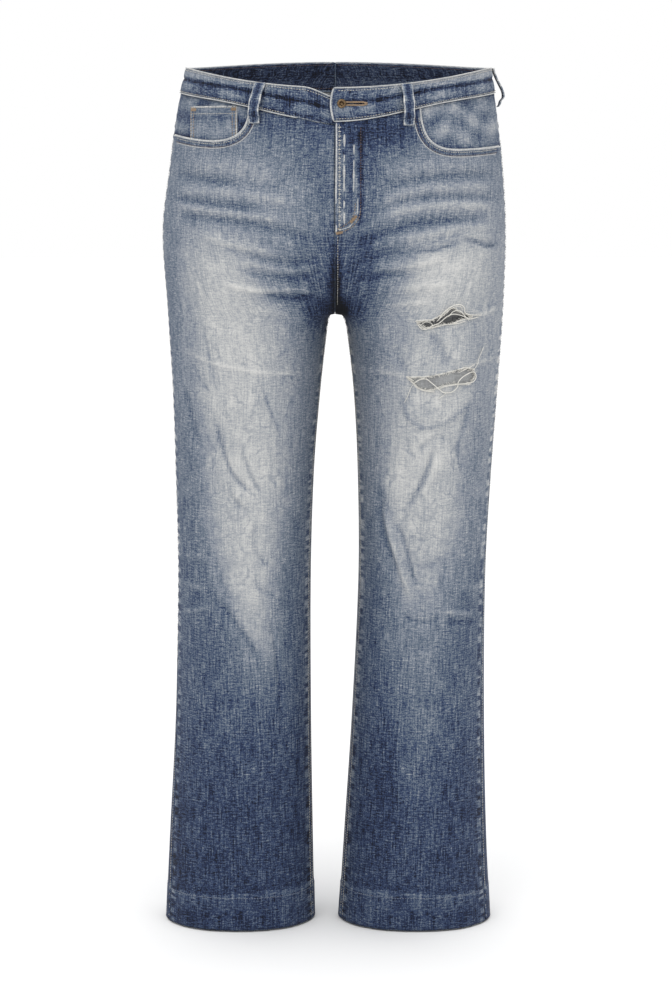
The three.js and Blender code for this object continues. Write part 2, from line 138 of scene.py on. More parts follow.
def innerEdge(half, z):
    below = np.maximum(form["crotch"] - z, 0)
    opening = np.sqrt(1 - np.exp(-below / form["archDrop"]))
    return along(form["innerSide"], half + 1, z) * opening


def section(half, z):
    z = np.asarray(z, float)
    outer = along(form["outerSide"], half + 1, z)
    inner = innerEdge(half, z)
    share = np.maximum(0, along(form["parting"], half + 1, z))
    parted = z < form["partedBelow"]
    width = np.where(parted, (outer - inner) / 2, outer / (1 + share))
    centre = np.where(parted, (outer + inner) / 2, width * share)
    middle = along(form["depths"], 1, z)
    return centre, width, middle, along(form["depths"], 2, z), along(form["depths"], 3, z)


def basePoint(half, z, angle):
    z, angle = np.broadcast_arrays(np.asarray(z, float), np.asarray(angle, float))
    centre, width, middle, frontDepth, backDepth = section(half, z)
    facing = np.where(np.sin(angle) > 0, 1.0, -1.0)
    depth = np.where(facing > 0, frontDepth, backDepth)
    fullness = 1 + form["squareness"] * np.sin(2 * angle) ** 2
    x = centre + width * np.cos(angle)
    y = middle - depth * np.sin(angle) * fullness
    end = np.arccos(np.clip(-centre / width, -0.9999, 0.9999))
    steep = np.abs(depth * np.cos(end) / (width * np.sin(end)))
    fill = np.minimum(steep, form["valleySlope"]) * form["valleyWidth"] / 2
    fade = np.clip((z - form["crotch"]) / form["valleyFade"], 0, 1)
    spanned = (z > form["crotch"]) & (x < form["valleyWidth"])
    y = y - np.where(spanned, facing * fill * fade * (1 - x / form["valleyWidth"]) ** 2, 0)
    inner = centre - width
    press = np.clip(1 - (x - inner) / form["pinchReach"], 0, 1) ** 2
    pinched = (z < form["crotch"]) & (z > form["partedBelow"])
    x = x + np.where(pinched, (innerEdge(half, z) - inner) * press, 0)
    return np.stack([direction[half] * x, y, z], -1)


def outward(half, z, angle):
    step = 0.004
    across = basePoint(half, z, angle + step) - basePoint(half, z, angle - step)
    down = basePoint(half, z - 1, angle) - basePoint(half, z + 1, angle)
    away = np.cross(across, down) * direction[half]
    return away / np.linalg.norm(away, axis=-1, keepdims=True)


def broadHeight(half, z, angle):
    height = np.zeros(np.broadcast(z, angle).shape)
    for which, top, turn, reach, spread, rise, drift in broadFolds:
        if which == half:
            lengthwise = (z - top) / reach
            crosswise = (angle - turn - drift * lengthwise) / spread
            height = height + rise * np.exp(-lengthwise ** 2 - crosswise ** 2)
    return height


# creases, listed one by one: points as distance from the middle and height,
# then half width, rise and change of tone
# their change of tone is paler along rubbed ridges, which is wear, and darker along creases and
# pressed-in edges, which is painted shade
frontCreases = {
    right: [
        # whiskers of the hip: pale from wear, with painted shade in the creases between them
        ([(188, -118), (120, -122), (60, -134)], 12, 1.2, 14),
        ([(203, -130), (160, -136), (110, -144)], 5, -1.0, -14),
        ([(206, -150), (120, -153), (40, -166)], 6, 1.3, 15),
        ([(206, -159), (140, -167), (85, -173)], 4.5, -1.2, -17),
        ([(208, -166), (150, -176), (50, -186)], 4.5, 1.4, 20),
        ([(205, -178), (100, -190), (15, -213)], 7, -1.6, -17),
        ([(172, -200), (110, -220), (62, -227)], 6, 1.2, 15),
        ([(150, -214), (60, -238), (8, -228)], 6, -1.4, -14),
        ([(118, -233), (60, -246), (12, -240)], 4, 1.0, 14),
        ([(125, -246), (60, -256), (15, -250)], 4.5, -1.0, -14),
        ([(140, -262), (95, -271), (45, -270), (8, -282)], 3.2, 1.4, 22),
        ([(90, -276), (50, -282), (18, -276)], 4, -1.8, -26),
        ([(110, -292), (60, -300), (25, -316)], 7, 0.8, 8),
        ([(198, -343), (150, -361), (90, -372), (22, -377)], 2.4, 0.6, 13),
        # thigh and knee
        ([(96, -375), (86, -402), (76, -430), (64, -462)], 2.0, -0.9, -14),
        ([(164, -310), (156, -352), (148, -400)], 3.0, -1.0, -13),
        ([(188, -390), (178, -432), (168, -470)], 4, -1.0, -14),
        ([(158, -362), (150, -400), (146, -436)], 5, 1.0, 6),
        ([(150, -428), (140, -470), (126, -503), (98, -528)], 3.0, -1.7, -22),
        ([(116, -468), (106, -498), (90, -530)], 2.6, -1.2, -15),
        ([(136, -506), (122, -538), (104, -548)], 3.2, -1.2, -13),
        ([(142, -500), (130, -520), (112, -536)], 4, 1.2, 6),
        ([(102, -556), (98, -600), (80, -622)], 2.4, -1.2, -16),
        ([(101, -628), (95, -646), (74, -656)], 2.4, -0.9, -13),
        ([(150, -606), (140, -640), (128, -670)], 4.5, -0.9, -10),
        ([(150, -655), (126, -690), (106, -718), (95, -745)], 5.5, -1.6, -19),
        ([(112, -690), (104, -714), (98, -728)], 4, 1.0, 7),
        ([(86, -676), (75, -722), (70, -780), (67, -834)], 2.4, -1.1, -17),
        ([(196, -684), (174, -676), (154, -668)], 2.4, 0.9, 22),
        ([(197, -640), (180, -647), (160, -648)], 3, 0.6, 12),
        ([(196, -610), (176, -608), (150, -612)], 3, 0.5, 8),
        ([(180, -356), (165, -385), (150, -402)], 2, -0.6, -9),
    ],
    left: [
        # whiskers of the hip: pale from wear, with painted shade in the creases between them
        ([(42, -131), (110, -122), (203, -118)], 10, 1.1, 12),
        ([(60, -142), (130, -133), (205, -132)], 5, -0.9, -13),
        ([(42, -172), (80, -154), (130, -147), (208, -146)], 6, 1.3, 15),
        ([(60, -166), (120, -158), (206, -161)], 4, -1.0, -12),
        ([(40, -192), (75, -176), (130, -168), (208, -171)], 5.5, 1.5, 20),
        ([(12, -218), (50, -205), (100, -190), (190, -184)], 6.5, -1.8, -24),
        ([(62, -211), (110, -204), (160, -194), (208, -201)], 5, 1.3, 13),
        ([(16, -238), (60, -227), (100, -223)], 7, -1.2, -16),
        ([(84, -222), (122, -221), (154, -212)], 2.0, -1.5, -30),
        ([(154, -210), (172, -212), (190, -219), (207, -214)], 2.2, -1.5, -26),
        ([(150, -204), (175, -206), (200, -209)], 4, 1.0, 10),
        ([(44, -246), (90, -241), (142, -228)], 4.5, 1.1, 13),
        ([(24, -262), (60, -251), (98, -251)], 5, -1.1, -17),
        ([(60, -272), (100, -266), (150, -262)], 4, 0.8, 8),
        ([(66, -289), (110, -285), (120, -286)], 3, 0.6, 14),
        ([(22, -372), (60, -373), (92, -377)], 2.4, 0.6, 13),
        ([(150, -371), (176, -362), (205, -357)], 2.6, 0.7, 14),
        ([(168, -303), (190, -300), (206, -294)], 2.4, 0.6, 16),
        # thigh and knee
        ([(86, -392), (88, -424), (106, -441), (130, -438), (152, -424), (174, -408)],
         2.4, 0.9, -16),
        ([(90, -398), (94, -418), (110, -430), (132, -427), (152, -413)], 5, 0.8, 6),
        ([(116, -320), (128, -342), (138, -368)], 6, -1.5, -14),
        ([(132, -322), (145, -345), (152, -366)], 6, 1.0, 9),
        ([(66, -340), (80, -360), (88, -378)], 5, -0.8, -8),
        ([(90, -452), (91, -468), (100, -482)], 2.2, -0.9, -12),
        ([(96, -476), (112, -462), (128, -452), (142, -462)], 2.2, -0.8, -10),
        ([(122, -466), (114, -498), (98, -530), (86, -549)], 3.2, -1.8, -24),
        ([(128, -472), (122, -500), (106, -530)], 4, 1.2, 7),
        ([(152, -454), (152, -480), (157, -502)], 2.2, -1.1, -22),
        ([(166, -408), (158, -440), (153, -456)], 3, -0.9, -14),
        ([(60, -535), (66, -570), (78, -610), (96, -662)], 3.6, 2.6, 16),
        ([(75, -560), (88, -596), (101, -648)], 3.0, -1.7, -22),
        ([(56, -510), (58, -545), (68, -600), (84, -640)], 6, -1.2, -18),
        ([(76, -545), (90, -550), (78, -566)], 2, -0.7, -14),
        ([(84, -583), (100, -582), (116, -585)], 1.8, -0.7, -16),
        ([(100, -617), (112, -619), (128, -611)], 2.0, -0.8, -14),
        ([(128, -600), (136, -625), (130, -660)], 5, -0.9, -12),
        ([(82, -678), (100, -688), (120, -688), (134, -678)], 2.4, -1.0, -14),
        ([(130, -675), (150, -678), (178, -684)], 2.2, 0.9, 26),
        ([(138, -688), (160, -692), (180, -694)], 3.5, -0.8, -16),
        ([(170, -648), (182, -650), (190, -650)], 2.5, 0.6, 18),
        ([(104, -728), (114, -731), (124, -726)], 3, 0.5, 12),
        ([(76, -800), (72, -900), (74, -980)], 6, -0.8, -9),
    ],
}
# the same for both halves of the back: seat, backs of the thighs and knees; pale lines are rubbed
# wear, dark lines painted shade in the creases
backCreases = [
    ([(20, -286), (80, -300), (150, -292), (196, -270)], 5, -1.8, -20),
    ([(26, -300), (90, -316), (160, -306), (200, -286)], 6, 1.5, 14),
    ([(30, -322), (90, -336), (160, -326)], 4, -1.1, -12),
    ([(34, -352), (100, -362), (170, -350)], 5, 0.9, 10),
    ([(60, -560), (110, -572), (170, -560)], 4, -1.3, -15),
    ([(50, -574), (110, -588), (182, -574)], 5, 1.4, 15),
    ([(56, -600), (115, -612), (176, -598)], 4, -1.5, -17),
    ([(48, -614), (110, -628), (186, -610)], 5, 1.5, 16),
    ([(60, -640), (105, -650), (168, -642)], 4, -1.2, -14),
    ([(52, -655), (110, -668), (180, -652)], 5, 1.1, 12),
    ([(60, -684), (110, -692), (160, -684)], 4, -0.8, -9),
    ([(70, -420), (86, -470), (92, -530)], 6, -1.1, -9),
    ([(150, -400), (142, -460), (150, -520)], 7, 1.0, 6),
    ([(120, -720), (112, -800), (116, -880)], 8, -0.9, -7),
]
creaseShare = {"rise": 1.5, "tone": 1.8, "reach": 3, "endFade": 0.22}


def curveThrough(points, steps=6):
    pts = [np.array(p, float) for p in points]
    pts = [2 * pts[0] - pts[1]] + pts + [2 * pts[-1] - pts[-2]]
    out = []
    for a, b, c, d in zip(pts, pts[1:], pts[2:], pts[3:]):
        for k in range(steps):
            t = k / steps
            out.append(
                0.5 * (2 * b + (c - a) * t + (2 * a - 5 * b + 4 * c - d) * t * t
                       + (3 * b - a - 3 * c + d) * t ** 3)
            )
    out.append(pts[-2])
    return np.array(out)


def runAlong(line):
    steps = np.linalg.norm(np.diff(line, axis=0), axis=1)
    return np.concatenate([[0], np.cumsum(steps)])


def toLine(px, pz, line):
    # distance to a line, and how far along it the nearest place lies, from 0 to 1
    best = np.full(px.shape, 1e9)
    where = np.zeros(px.shape)
    run = runAlong(line)
    for k, (a, b) in enumerate(zip(line, line[1:])):
        way = b - a
        t = np.clip(((px - a[0]) * way[0] + (pz - a[1]) * way[1]) / (way @ way), 0, 1)
        gap = np.hypot(px - a[0] - t * way[0], pz - a[1] - t * way[1])
        near = gap < best
        best = np.where(near, gap, best)
        where = np.where(near, (run[k] + t * (run[k + 1] - run[k])) / run[-1], where)
    return best, where


creaseLines = {
    (half, facing): [
        (curveThrough(points), *rest)
        for points, *rest in (frontCreases[half] if facing == front else backCreases)
    ]
    for half in (right, left) for facing in (front, back)
}


def creases(half, facing, x, z):
    height, tone = np.zeros(x.shape), np.zeros(x.shape)
    for line, width, rise, change in creaseLines[half, facing]:
        reach = creaseShare["reach"] * width
        (lowX, lowZ), (highX, highZ) = line.min(axis=0) - reach, line.max(axis=0) + reach
        close = (x > lowX) & (x < highX) & (z > lowZ) & (z < highZ)
        if not close.any():
            continue
        gap, where = toLine(x[close], z[close], line)
        ends = smooth(np.minimum(where, 1 - where) / creaseShare["endFade"])
        share = bell(gap, width) * ends
        height[close] += creaseShare["rise"] * rise * share
        # tone: rubbed paleness on ridges, painted shade in creases
        tone[close] += creaseShare["tone"] * change * share
    return height, tone


def clothPoint(half, z, angle, out=0.0):
    # a place this far out of the form, in millimetres, with its folds and creases
    z, angle = np.broadcast_arrays(np.asarray(z, float), np.asarray(angle, float))
    base = basePoint(half, z, angle)
    x = base[..., 0] * direction[half]
    fine = [creases(half, facing, x, z)[0] for facing in (front, back)]
    height = broadHeight(half, z, angle) + np.where(np.sin(angle) > 0, *fine)
    return base + outward(half, z, angle) * (np.asarray(out) + height)[..., None]


def angleAt(half, z, x):
    centre, width = section(half, z)[:2]
    return np.arccos(np.clip((x - centre) / width, -1, 1))


def onLine(half, facing, line, out=0.0):
    # places and outward directions along a line of x and z
    line = np.asarray(line, float)
    z = line[:, 1]
    angle = facing * angleAt(half, z, line[:, 0])
    return clothPoint(half, z, angle, out), outward(half, z, angle)


def endAngle(half, z, facing):
    centre, width = section(half, z)[:2]
    above = facing * np.arccos(np.clip((form["seamGap"] / 2 - centre) / width, -1, 1))
    turn = along(form["innerSeam"], half + 1, z)
    return np.where(z >= form["crotch"], above, facing * math.pi - turn)


panelCut = {"evenShare": 11 / 13, "crotchEnd": 2.79, "evenAgain": 100.0}


def seamToSeam(half, z, facing, across):
    # the angle of a place from 0 at a panel's outer seam to 1 at its inner or centre seam
    centre, width, middle, frontDepth, backDepth = section(half, z)
    depth = frontDepth if facing > 0 else backDepth

    def clear(angle):
        return form["seamGap"] / 2 / np.hypot(width * np.sin(angle), depth * np.cos(angle))

    start = along(form["outerSeam"], half + 1, z)
    end = endAngle(half, z, facing)
    first = start + facing * clear(start)
    last = end - facing * clear(end)
    drop = (form["crotch"] - z) / panelCut["evenAgain"]
    fade = np.where(z < form["crotch"], smooth(drop), 1.0)
    evenLast = mix(facing * panelCut["crotchEnd"], last, fade)
    even = panelCut["evenShare"]
    beyond = (across - even) / (1 - even)
    return np.where(
        across <= even,
        mix(first, evenLast, across),
        mix(mix(first, evenLast, even), last, beyond),
    )


# waist lines: heights against the angle round the waist
waistLine = {
    "frontDip": 27, "backRise": 11, "height": 30, "frontDeepening": 37,
    "backShortening": 4, "yokeSide": 44, "yokeMiddle": 72,
    "sagFrom": 38, "topSag": 14, "topSagReach": 50, "bottomSag": 4.5, "bottomSagReach": 40,
    "seamHeight": -60.0, "beyondSag": 99,
}


def bandTop(angle):
    lift = np.where(np.sin(angle) > 0, -waistLine["frontDip"], waistLine["backRise"])
    return lift * np.sin(angle) ** 2


def bandBottom(angle):
    turn = np.sin(angle)
    ahead = np.maximum(turn, 0)
    deeper = waistLine["frontDeepening"] * (ahead ** 1.5 + ahead ** 8) / 2
    inFront = -waistLine["height"] - deeper
    behind = waistLine["backShortening"] * turn ** 2 - waistLine["height"]
    return np.where(turn < 0, behind, inFront)


def topSag(x):
    return waistLine["topSag"] * smooth((waistLine["sagFrom"] - x) / waistLine["topSagReach"])


def bottomSag(x):
    share = np.clip((waistLine["sagFrom"] - x) / waistLine["bottomSagReach"], 0, 1)
    return waistLine["bottomSag"] * share


def yokeBottom(angle):
    share = np.clip(-angle / (math.pi / 2), 0, 1)
    drop = mix(waistLine["yokeSide"], waistLine["yokeMiddle"], share)
    return bandBottom(angle) - form["seamGap"] - drop


def hangingTop(half, angle):
    # the top edge of what hangs from the waistband, lower where its right end sags
    width = section(half, waistLine["seamHeight"])[1]
    sags = (half == right) & (np.asarray(angle) > 0)
    x = np.where(sags, width * np.cos(angle), waistLine["beyondSag"])
    return bandBottom(angle) - form["seamGap"] - bottomSag(x)


# objects, meshes and sheets of cloth
farOff = 50.0  # a distance out of reach of any seam or edge


def addObject(name, data):
    piece = bpy.data.objects.new(name, data)
    bpy.context.collection.objects.link(piece)
    return piece


def turnOutwards(mesh):
    bm = bmesh.new()
    bm.from_mesh(mesh)
    bmesh.ops.recalc_face_normals(bm, faces=bm.faces)
    bm.to_mesh(mesh)
    bm.free()
    mesh.polygons.foreach_set("use_smooth", np.ones(len(mesh.polygons), bool))


def addMarks(mesh, layers):
    for key, values in layers.items():
        layer = mesh.attributes.new(key, "FLOAT", "POINT")
        layer.data.foreach_set("value", np.asarray(values, np.float32))


def lengthsAlong(points, axis):
    steps = np.linalg.norm(np.diff(points, axis=axis), axis=-1)
    start = np.zeros_like(np.take(steps, [0], axis=axis))
    return np.concatenate([start, np.cumsum(steps, axis=axis)], axis=axis)


def signedGap(x, z, outline):
    # distance to a closed outline, negative inside it
    pts = np.asarray(outline, float)
    nxt = np.roll(pts, -1, axis=0)
    best = np.full(x.shape, 1e9)
    inside = np.zeros(x.shape, bool)
    for (ax, az), (bx, bz) in zip(pts, nxt):
        rx, rz = bx - ax, bz - az
        t = np.clip(((x - ax) * rx + (z - az) * rz) / (rx * rx + rz * rz + 1e-9), 0, 1)
        best = np.minimum(best, np.hypot(x - ax - t * rx, z - az - t * rz))
        crosses = (az > z) != (bz > z)
        at = ax + (z - az) * rx / np.where(abs(rz) < 1e-9, 1e-9, rz)
        inside ^= crosses & (x < at)
    return np.where(inside, -best, best)


def signedVolume(places, faces):
    # positive where the faces of a closed mesh point outwards
    corners = np.array([(q[0], q[k], q[k + 1]) for q in faces for k in range(1, len(q) - 1)])
    a, b, c = (places[corners[:, k]] for k in range(3))
    return float(np.sum(a * np.cross(b, c)))


def cutGrid(data, quads, keep):
    # the faces where keep is positive, cut along its zero line, and the places with the new ones
    f = keep.reshape(-1)
    positive = (f > 0)[quads]
    whole = positive.all(1)
    faces = quads[whole].tolist()
    extra, cuts = [], {}
    for quad in quads[positive.any(1) & ~whole].tolist():
        face = []
        for a, b in zip(quad, quad[1:] + quad[:1]):
            if f[a] > 0:
                face.append(a)
            if (f[a] > 0) != (f[b] > 0):
                key = (min(a, b), max(a, b))
                if key not in cuts:
                    t = np.clip(f[key[0]] / (f[key[0]] - f[key[1]]), 0.02, 0.98)
                    cuts[key] = len(data) + len(extra)
                    extra.append(mix(data[key[0]], data[key[1]], t))
                face.append(cuts[key])
        if len(face) > 2:
            faces.append(face)
    return (np.concatenate([data, np.array(extra)]) if extra else data), faces


def sheetMesh(name, outer, inner, uv, marks, material, keep=None, tube=False):
    # a closed wall of cloth over a grid, without what lies where keep is negative
    rows, columns = outer.shape[:2]
    cols = [outer.reshape(-1, 3), inner.reshape(-1, 3), uv.reshape(-1, 2)]
    cols += [np.broadcast_to(m, (rows, columns)).reshape(-1, 1) for m in marks.values()]
    data = np.concatenate(cols, axis=1)
    number = np.arange(rows * columns).reshape(rows, columns)
    quads = np.stack(
        [number[:-1, :-1], number[1:, :-1], number[1:, 1:], number[:-1, 1:]], -1
    ).reshape(-1, 4)
    faces = quads.tolist()
    if keep is not None:
        data, faces = cutGrid(data, quads, keep)
    used = np.unique(np.concatenate([np.array(q) for q in faces]))
    fresh = np.full(len(data), -1)
    fresh[used] = np.arange(len(used))
    data = data[used]
    faces = [[int(fresh[i]) for i in q] for q in faces]
    total = len(data)
    point = np.arange(total)
    if tube:  # the last column is the first one again
        point[fresh[number[:, -1]]] = fresh[number[:, 0]]
    sides = {}
    for q in faces:
        for a, b in zip(q, q[1:] + q[:1]):
            sides[(point[a], point[b])] = (a, b)
    rim = [(a, b) for (p, q), (a, b) in sides.items() if (q, p) not in sides and p != q]
    allFaces = [list(q) for q in faces]
    allFaces += [[i + total for i in reversed(q)] for q in faces]
    allFaces += [[b, a, a + total, b + total] for a, b in rim]
    places = np.concatenate([data[:, 0:3], data[:, 3:6]]) / 1000
    if signedVolume(places, allFaces) < 0:
        allFaces = [q[::-1] for q in allFaces]
    merged = [
        [int(point[i % total]) + (total if i >= total else 0) for i in q] for q in allFaces
    ]
    mesh = bpy.data.meshes.new(name)
    mesh.from_pydata(places.tolist(), [], merged)
    uvs = mesh.uv_layers.new(name="weave")
    flat = np.concatenate([np.array(q) for q in allFaces]) % total
    uvs.data.foreach_set("uv", (data[flat, 6:8] / 1000).astype(np.float32).ravel())
    layers = {key: np.tile(data[:, 8 + k], 2) for k, key in enumerate(marks)}
    layers["inside"] = np.repeat([0.0, 1.0], total)
    addMarks(mesh, layers)
    mesh.polygons.foreach_set("use_smooth", np.ones(len(mesh.polygons), bool))
    if tube:
        bm = bmesh.new()
        bm.from_mesh(mesh)
        loose = [v for v in bm.verts if not v.link_faces]
        bmesh.ops.delete(bm, geom=loose, context="VERTS")
        bm.to_mesh(mesh)
        bm.free()
    mesh.update()
    mesh.materials.append(material)
    return addObject(name, mesh)


# node materials


def linear(c):
    c = c / 255
    return c / 12.92 if c <= 0.04045 else ((c + 0.055) / 1.055) ** 2.4


lightShare = 0.72  # how bright a dye looks under the lights below, against its own colour


class Graph:
    def __init__(self, name):
        self.material = bpy.data.materials.new(name)
        self.material.use_nodes = True
        self.tree = self.material.node_tree
        self.tree.nodes.clear()
        self.shader = self.add("ShaderNodeBsdfPrincipled")
        out = self.add("ShaderNodeOutputMaterial")
        self.join(self.shader.outputs["BSDF"], out.inputs["Surface"])

    def add(self, kind, **settings):
        node = self.tree.nodes.new(kind)
        for key, value in settings.items():
            setattr(node, key, value)
        return node

    def join(self, source, target):
        if isinstance(source, (int, float)):
            target.default_value = source
        else:
            self.tree.links.new(source, target)

    def dress(self, values):
        for key, value in values.items():
            self.join(value, self.shader.inputs[key])

    def math(self, operation, a, b=0.0, c=0.0):
        node = self.add("ShaderNodeMath", operation=operation)
        for value, socket in zip((a, b, c), node.inputs):
            self.join(value, socket)
        return node.outputs[0]

    def mark(self, name):
        return self.add("ShaderNodeAttribute", attribute_name=name).outputs["Fac"]

    def scaled(self, place, scale):
        node = self.add("ShaderNodeMapping")
        node.inputs["Scale"].default_value = scale
        self.join(place, node.inputs["Vector"])
        return node.outputs[0]

    def noise(self, place, scale, detail=2.0, rough=0.5):
        node = self.add("ShaderNodeTexNoise")
        self.join(1.0, node.inputs["Scale"])
        self.join(detail, node.inputs["Detail"])
        self.join(rough, node.inputs["Roughness"])
        self.join(self.scaled(place, scale), node.inputs["Vector"])
        return self.math("SUBTRACT", node.outputs["Fac"], 0.5)

    def onWeave(self, uv, width, length, detail=2.0, rough=0.5):
        # a noise of this size in millimetres across and along the cloth
        return self.noise(uv, (1000 / width, 1000 / length, 1), detail, rough)

    def between(self, value, low, high, start=0.0, end=1.0):
        node = self.add("ShaderNodeMapRange", interpolation_type="SMOOTHSTEP")
        sockets = ("Value", "From Min", "From Max", "To Min", "To Max")
        for key, number in zip(sockets, (value, low, high, start, end)):
            self.join(number, node.inputs[key])
        return node.outputs["Result"]

    def ramp(self, value, stops):
        node = self.add("ShaderNodeValToRGB")
        elements = node.color_ramp.elements
        while len(elements) < len(stops):
            elements.new(0.5)
        for element, (position, colour) in zip(elements, stops):
            element.position = position
            element.color = (*[linear(c) * lightShare for c in colour], 1)
        self.join(value, node.inputs["Fac"])
        return node.outputs["Color"]

    def bump(self, height, strength, distance):
        node = self.add("ShaderNodeBump")
        self.join(strength, node.inputs["Strength"])
        self.join(distance, node.inputs["Distance"])
        self.join(height, node.inputs["Height"])
        self.join(node.outputs["Normal"], self.shader.inputs["Normal"])


# brightness from 0 to 1, then the colour of the washed denim there
indigoWash = [
    (0.0, (6, 9, 20)), (0.12, (20, 28, 50)), (0.23, (38, 53, 87)), (0.30, (55, 71, 104)),
    (0.38, (82, 96, 116)), (0.46, (105, 117, 132)), (0.55, (131, 139, 153)),
    (0.63, (155, 160, 167)), (0.70, (175, 178, 181)), (0.80, (204, 204, 203)),
    (1.0, (240, 239, 234)),
]

weave = {  # strengths, and sizes in millimetres
    "slub": 0.66, "slubWidth": 2.0, "slubLength": 28.0,
    "weft": 0.64, "weftHeight": 1.8, "weftLength": 9.0,
    "grain": 0.84, "grainSize": 1.7,
    "crumple": 0.08, "crumpleSize": 30.0,
    "cloud": 0.20, "cloudSize": 26.0,
    "streak": 0.12, "streakWidth": 9.0, "streakLength": 130.0,
    "twill": 0.024, "twillPitch": 1.0, "twillWobble": 0.6,
    "darkContrast": 1.0, "paleContrast": 0.38,
    "pucker": 0.21, "puckerPitch": 12.0, "puckerReach": 11.0,
    "fold": 0.20, "foldReach": 2.3, "gapDark": 0.20, "gapWidth": 0.7,
    "edgePale": 0.34, "edgeWidth": 1.3,
    "bump": 0.35, "bumpHeight": 0.0006, "roughness": 0.86, "sheen": 0.02, "gloss": 0.25,
}


def alongSeam(g, uv, tone, seam, strength):
    # short pale and dark bars along a seam, where its sewing gathers the cloth
    reach, pitch = weave["puckerReach"], weave["puckerPitch"]
    beat = g.onWeave(uv, 60, pitch / 1.7, 1.0, 0.4)
    beat = g.between(beat, -0.10, 0.12, -0.65, 0.85)
    inwards = g.between(seam, reach * 0.45, reach, 1, 0)
    inwards = g.math("MULTIPLY", inwards, g.between(seam, 0.8, 2.2))
    bars = g.math("MULTIPLY", beat, inwards)
    tone = g.math("MULTIPLY_ADD", bars, weave["pucker"] * strength, tone)
    # the rubbed fold beside the seam, then the dark gap of the seam itself
    worn = g.between(g.onWeave(uv, 40, 6), -0.12, 0.10, 0.25, 1.0)
    beside = g.between(seam, weave["gapWidth"], weave["foldReach"], 1, 0)
    rubbed = g.math("MULTIPLY", beside, worn)
    tone = g.math("MULTIPLY_ADD", rubbed, weave["fold"] * strength, tone)
    gap = g.between(seam, 0.0, weave["gapWidth"], weave["gapDark"], 0.0)
    return g.math("SUBTRACT", tone, gap)


def denim(name, contrast=1.0, wash=indigoWash, puckers=1.0, insideTone=0.10, insideGrey=0.7):
    g = Graph(name)
    uv = g.add("ShaderNodeUVMap", uv_map="weave").outputs["UV"]
    slub = g.onWeave(uv, weave["slubWidth"], weave["slubLength"], 3, 0.55)
    weft = g.onWeave(uv, weave["weftLength"], weave["weftHeight"])
    grain = g.onWeave(uv, weave["grainSize"], weave["grainSize"], 2, 0.6)
    cloud = g.onWeave(uv, weave["cloudSize"], weave["cloudSize"], 3, 0.6)
    streak = g.onWeave(uv, weave["streakWidth"], weave["streakLength"])
    twill = g.add("ShaderNodeTexWave", wave_type="BANDS", bands_direction="DIAGONAL")
    g.join(1.0, twill.inputs["Scale"])
    g.join(weave["twillWobble"], twill.inputs["Distortion"])
    pitch = 1000 / weave["twillPitch"] / 2.8
    g.join(g.scaled(uv, (pitch, pitch, 1)), twill.inputs["Vector"])
    rib = g.math("SUBTRACT", twill.outputs["Fac"], 0.5)
    cross = g.math("MULTIPLY", slub, weave["slub"])
    for part, key in ((weft, "weft"), (grain, "grain"), (streak, "streak"), (rib, "twill")):
        cross = g.math("MULTIPLY_ADD", part, weave[key], cross)

    # the cloth's brightness: its fading, with painted shade added in at the creases, the crotch,
    # the pocket mouths and the panels' tops
    fade = g.mark("fade")
    # the paler the cloth, the less its yarns differ
    dark, pale = weave["darkContrast"] * contrast, weave["paleContrast"] * contrast
    tone = g.math("MULTIPLY_ADD", cross, g.between(fade, 0.25, 0.78, dark, pale), fade)
    tone = g.math("MULTIPLY_ADD", cloud, weave["cloud"], tone)
    if puckers:
        # fine crumples where the cloth is palest
        size = weave["crumpleSize"]
        crumple = g.onWeave(uv, size, size * 1.4, 2, 0.6)
        vein = g.between(g.math("ABSOLUTE", crumple), 0.0, 0.05, 1.0, 0.0)
        vein = g.math("MULTIPLY", vein, g.between(cloud, -0.06, 0.08))
        vein = g.math("MULTIPLY", vein, g.between(fade, 0.48, 0.62, 0.15, 1.0))
        tone = g.math("MULTIPLY_ADD", vein, -weave["crumple"], tone)
        tone = alongSeam(g, uv, tone, g.mark("seam"), puckers)
    width = weave["edgeWidth"]
    rub = g.math("MULTIPLY", g.between(g.mark("edge"), width, width * 1.6, 1, 0),
                 g.between(slub, -0.2, 0.1, 0.6, 1.0))
    tone = g.math("MULTIPLY_ADD", rub, weave["edgePale"], tone)
    inside = g.mark("inside")
    tone = g.math("MULTIPLY_ADD", inside, insideTone, tone)
    dye = g.add("ShaderNodeHueSaturation")
    g.join(g.ramp(tone, wash), dye.inputs["Color"])
    g.join(g.math("MULTIPLY_ADD", inside, -insideGrey, 1.0), dye.inputs["Saturation"])

    lift = g.math("MULTIPLY_ADD", rib, 0.35, g.math("ADD", slub, grain))
    lift = g.math("MULTIPLY_ADD", weft, 0.8, lift)
    g.bump(lift, weave["bump"], weave["bumpHeight"])
    g.dress({
        "Base Color": dye.outputs["Color"], "Roughness": weave["roughness"],
        "Sheen Weight": weave["sheen"], "Specular IOR Level": weave["gloss"],
    })
    return g.material


threads = {"fuzz": 900.0, "bump": 0.4, "bumpHeight": 0.0002, "roughness": 0.8, "sheen": 0.2}


def thread(name, colour, shade):
    g = Graph(name)
    place = g.add("ShaderNodeTexCoord").outputs["Object"]
    fuzz = g.noise(place, (threads["fuzz"],) * 3, 3, 0.6)
    stops = [(0.25, shade), (0.55, colour), (1.0, colour)]
    g.bump(fuzz, threads["bump"], threads["bumpHeight"])
    g.dress({
        "Base Color": g.ramp(g.math("ADD", fuzz, 0.5), stops),
        "Roughness": threads["roughness"], "Sheen Weight": threads["sheen"],
    })
    return g.material


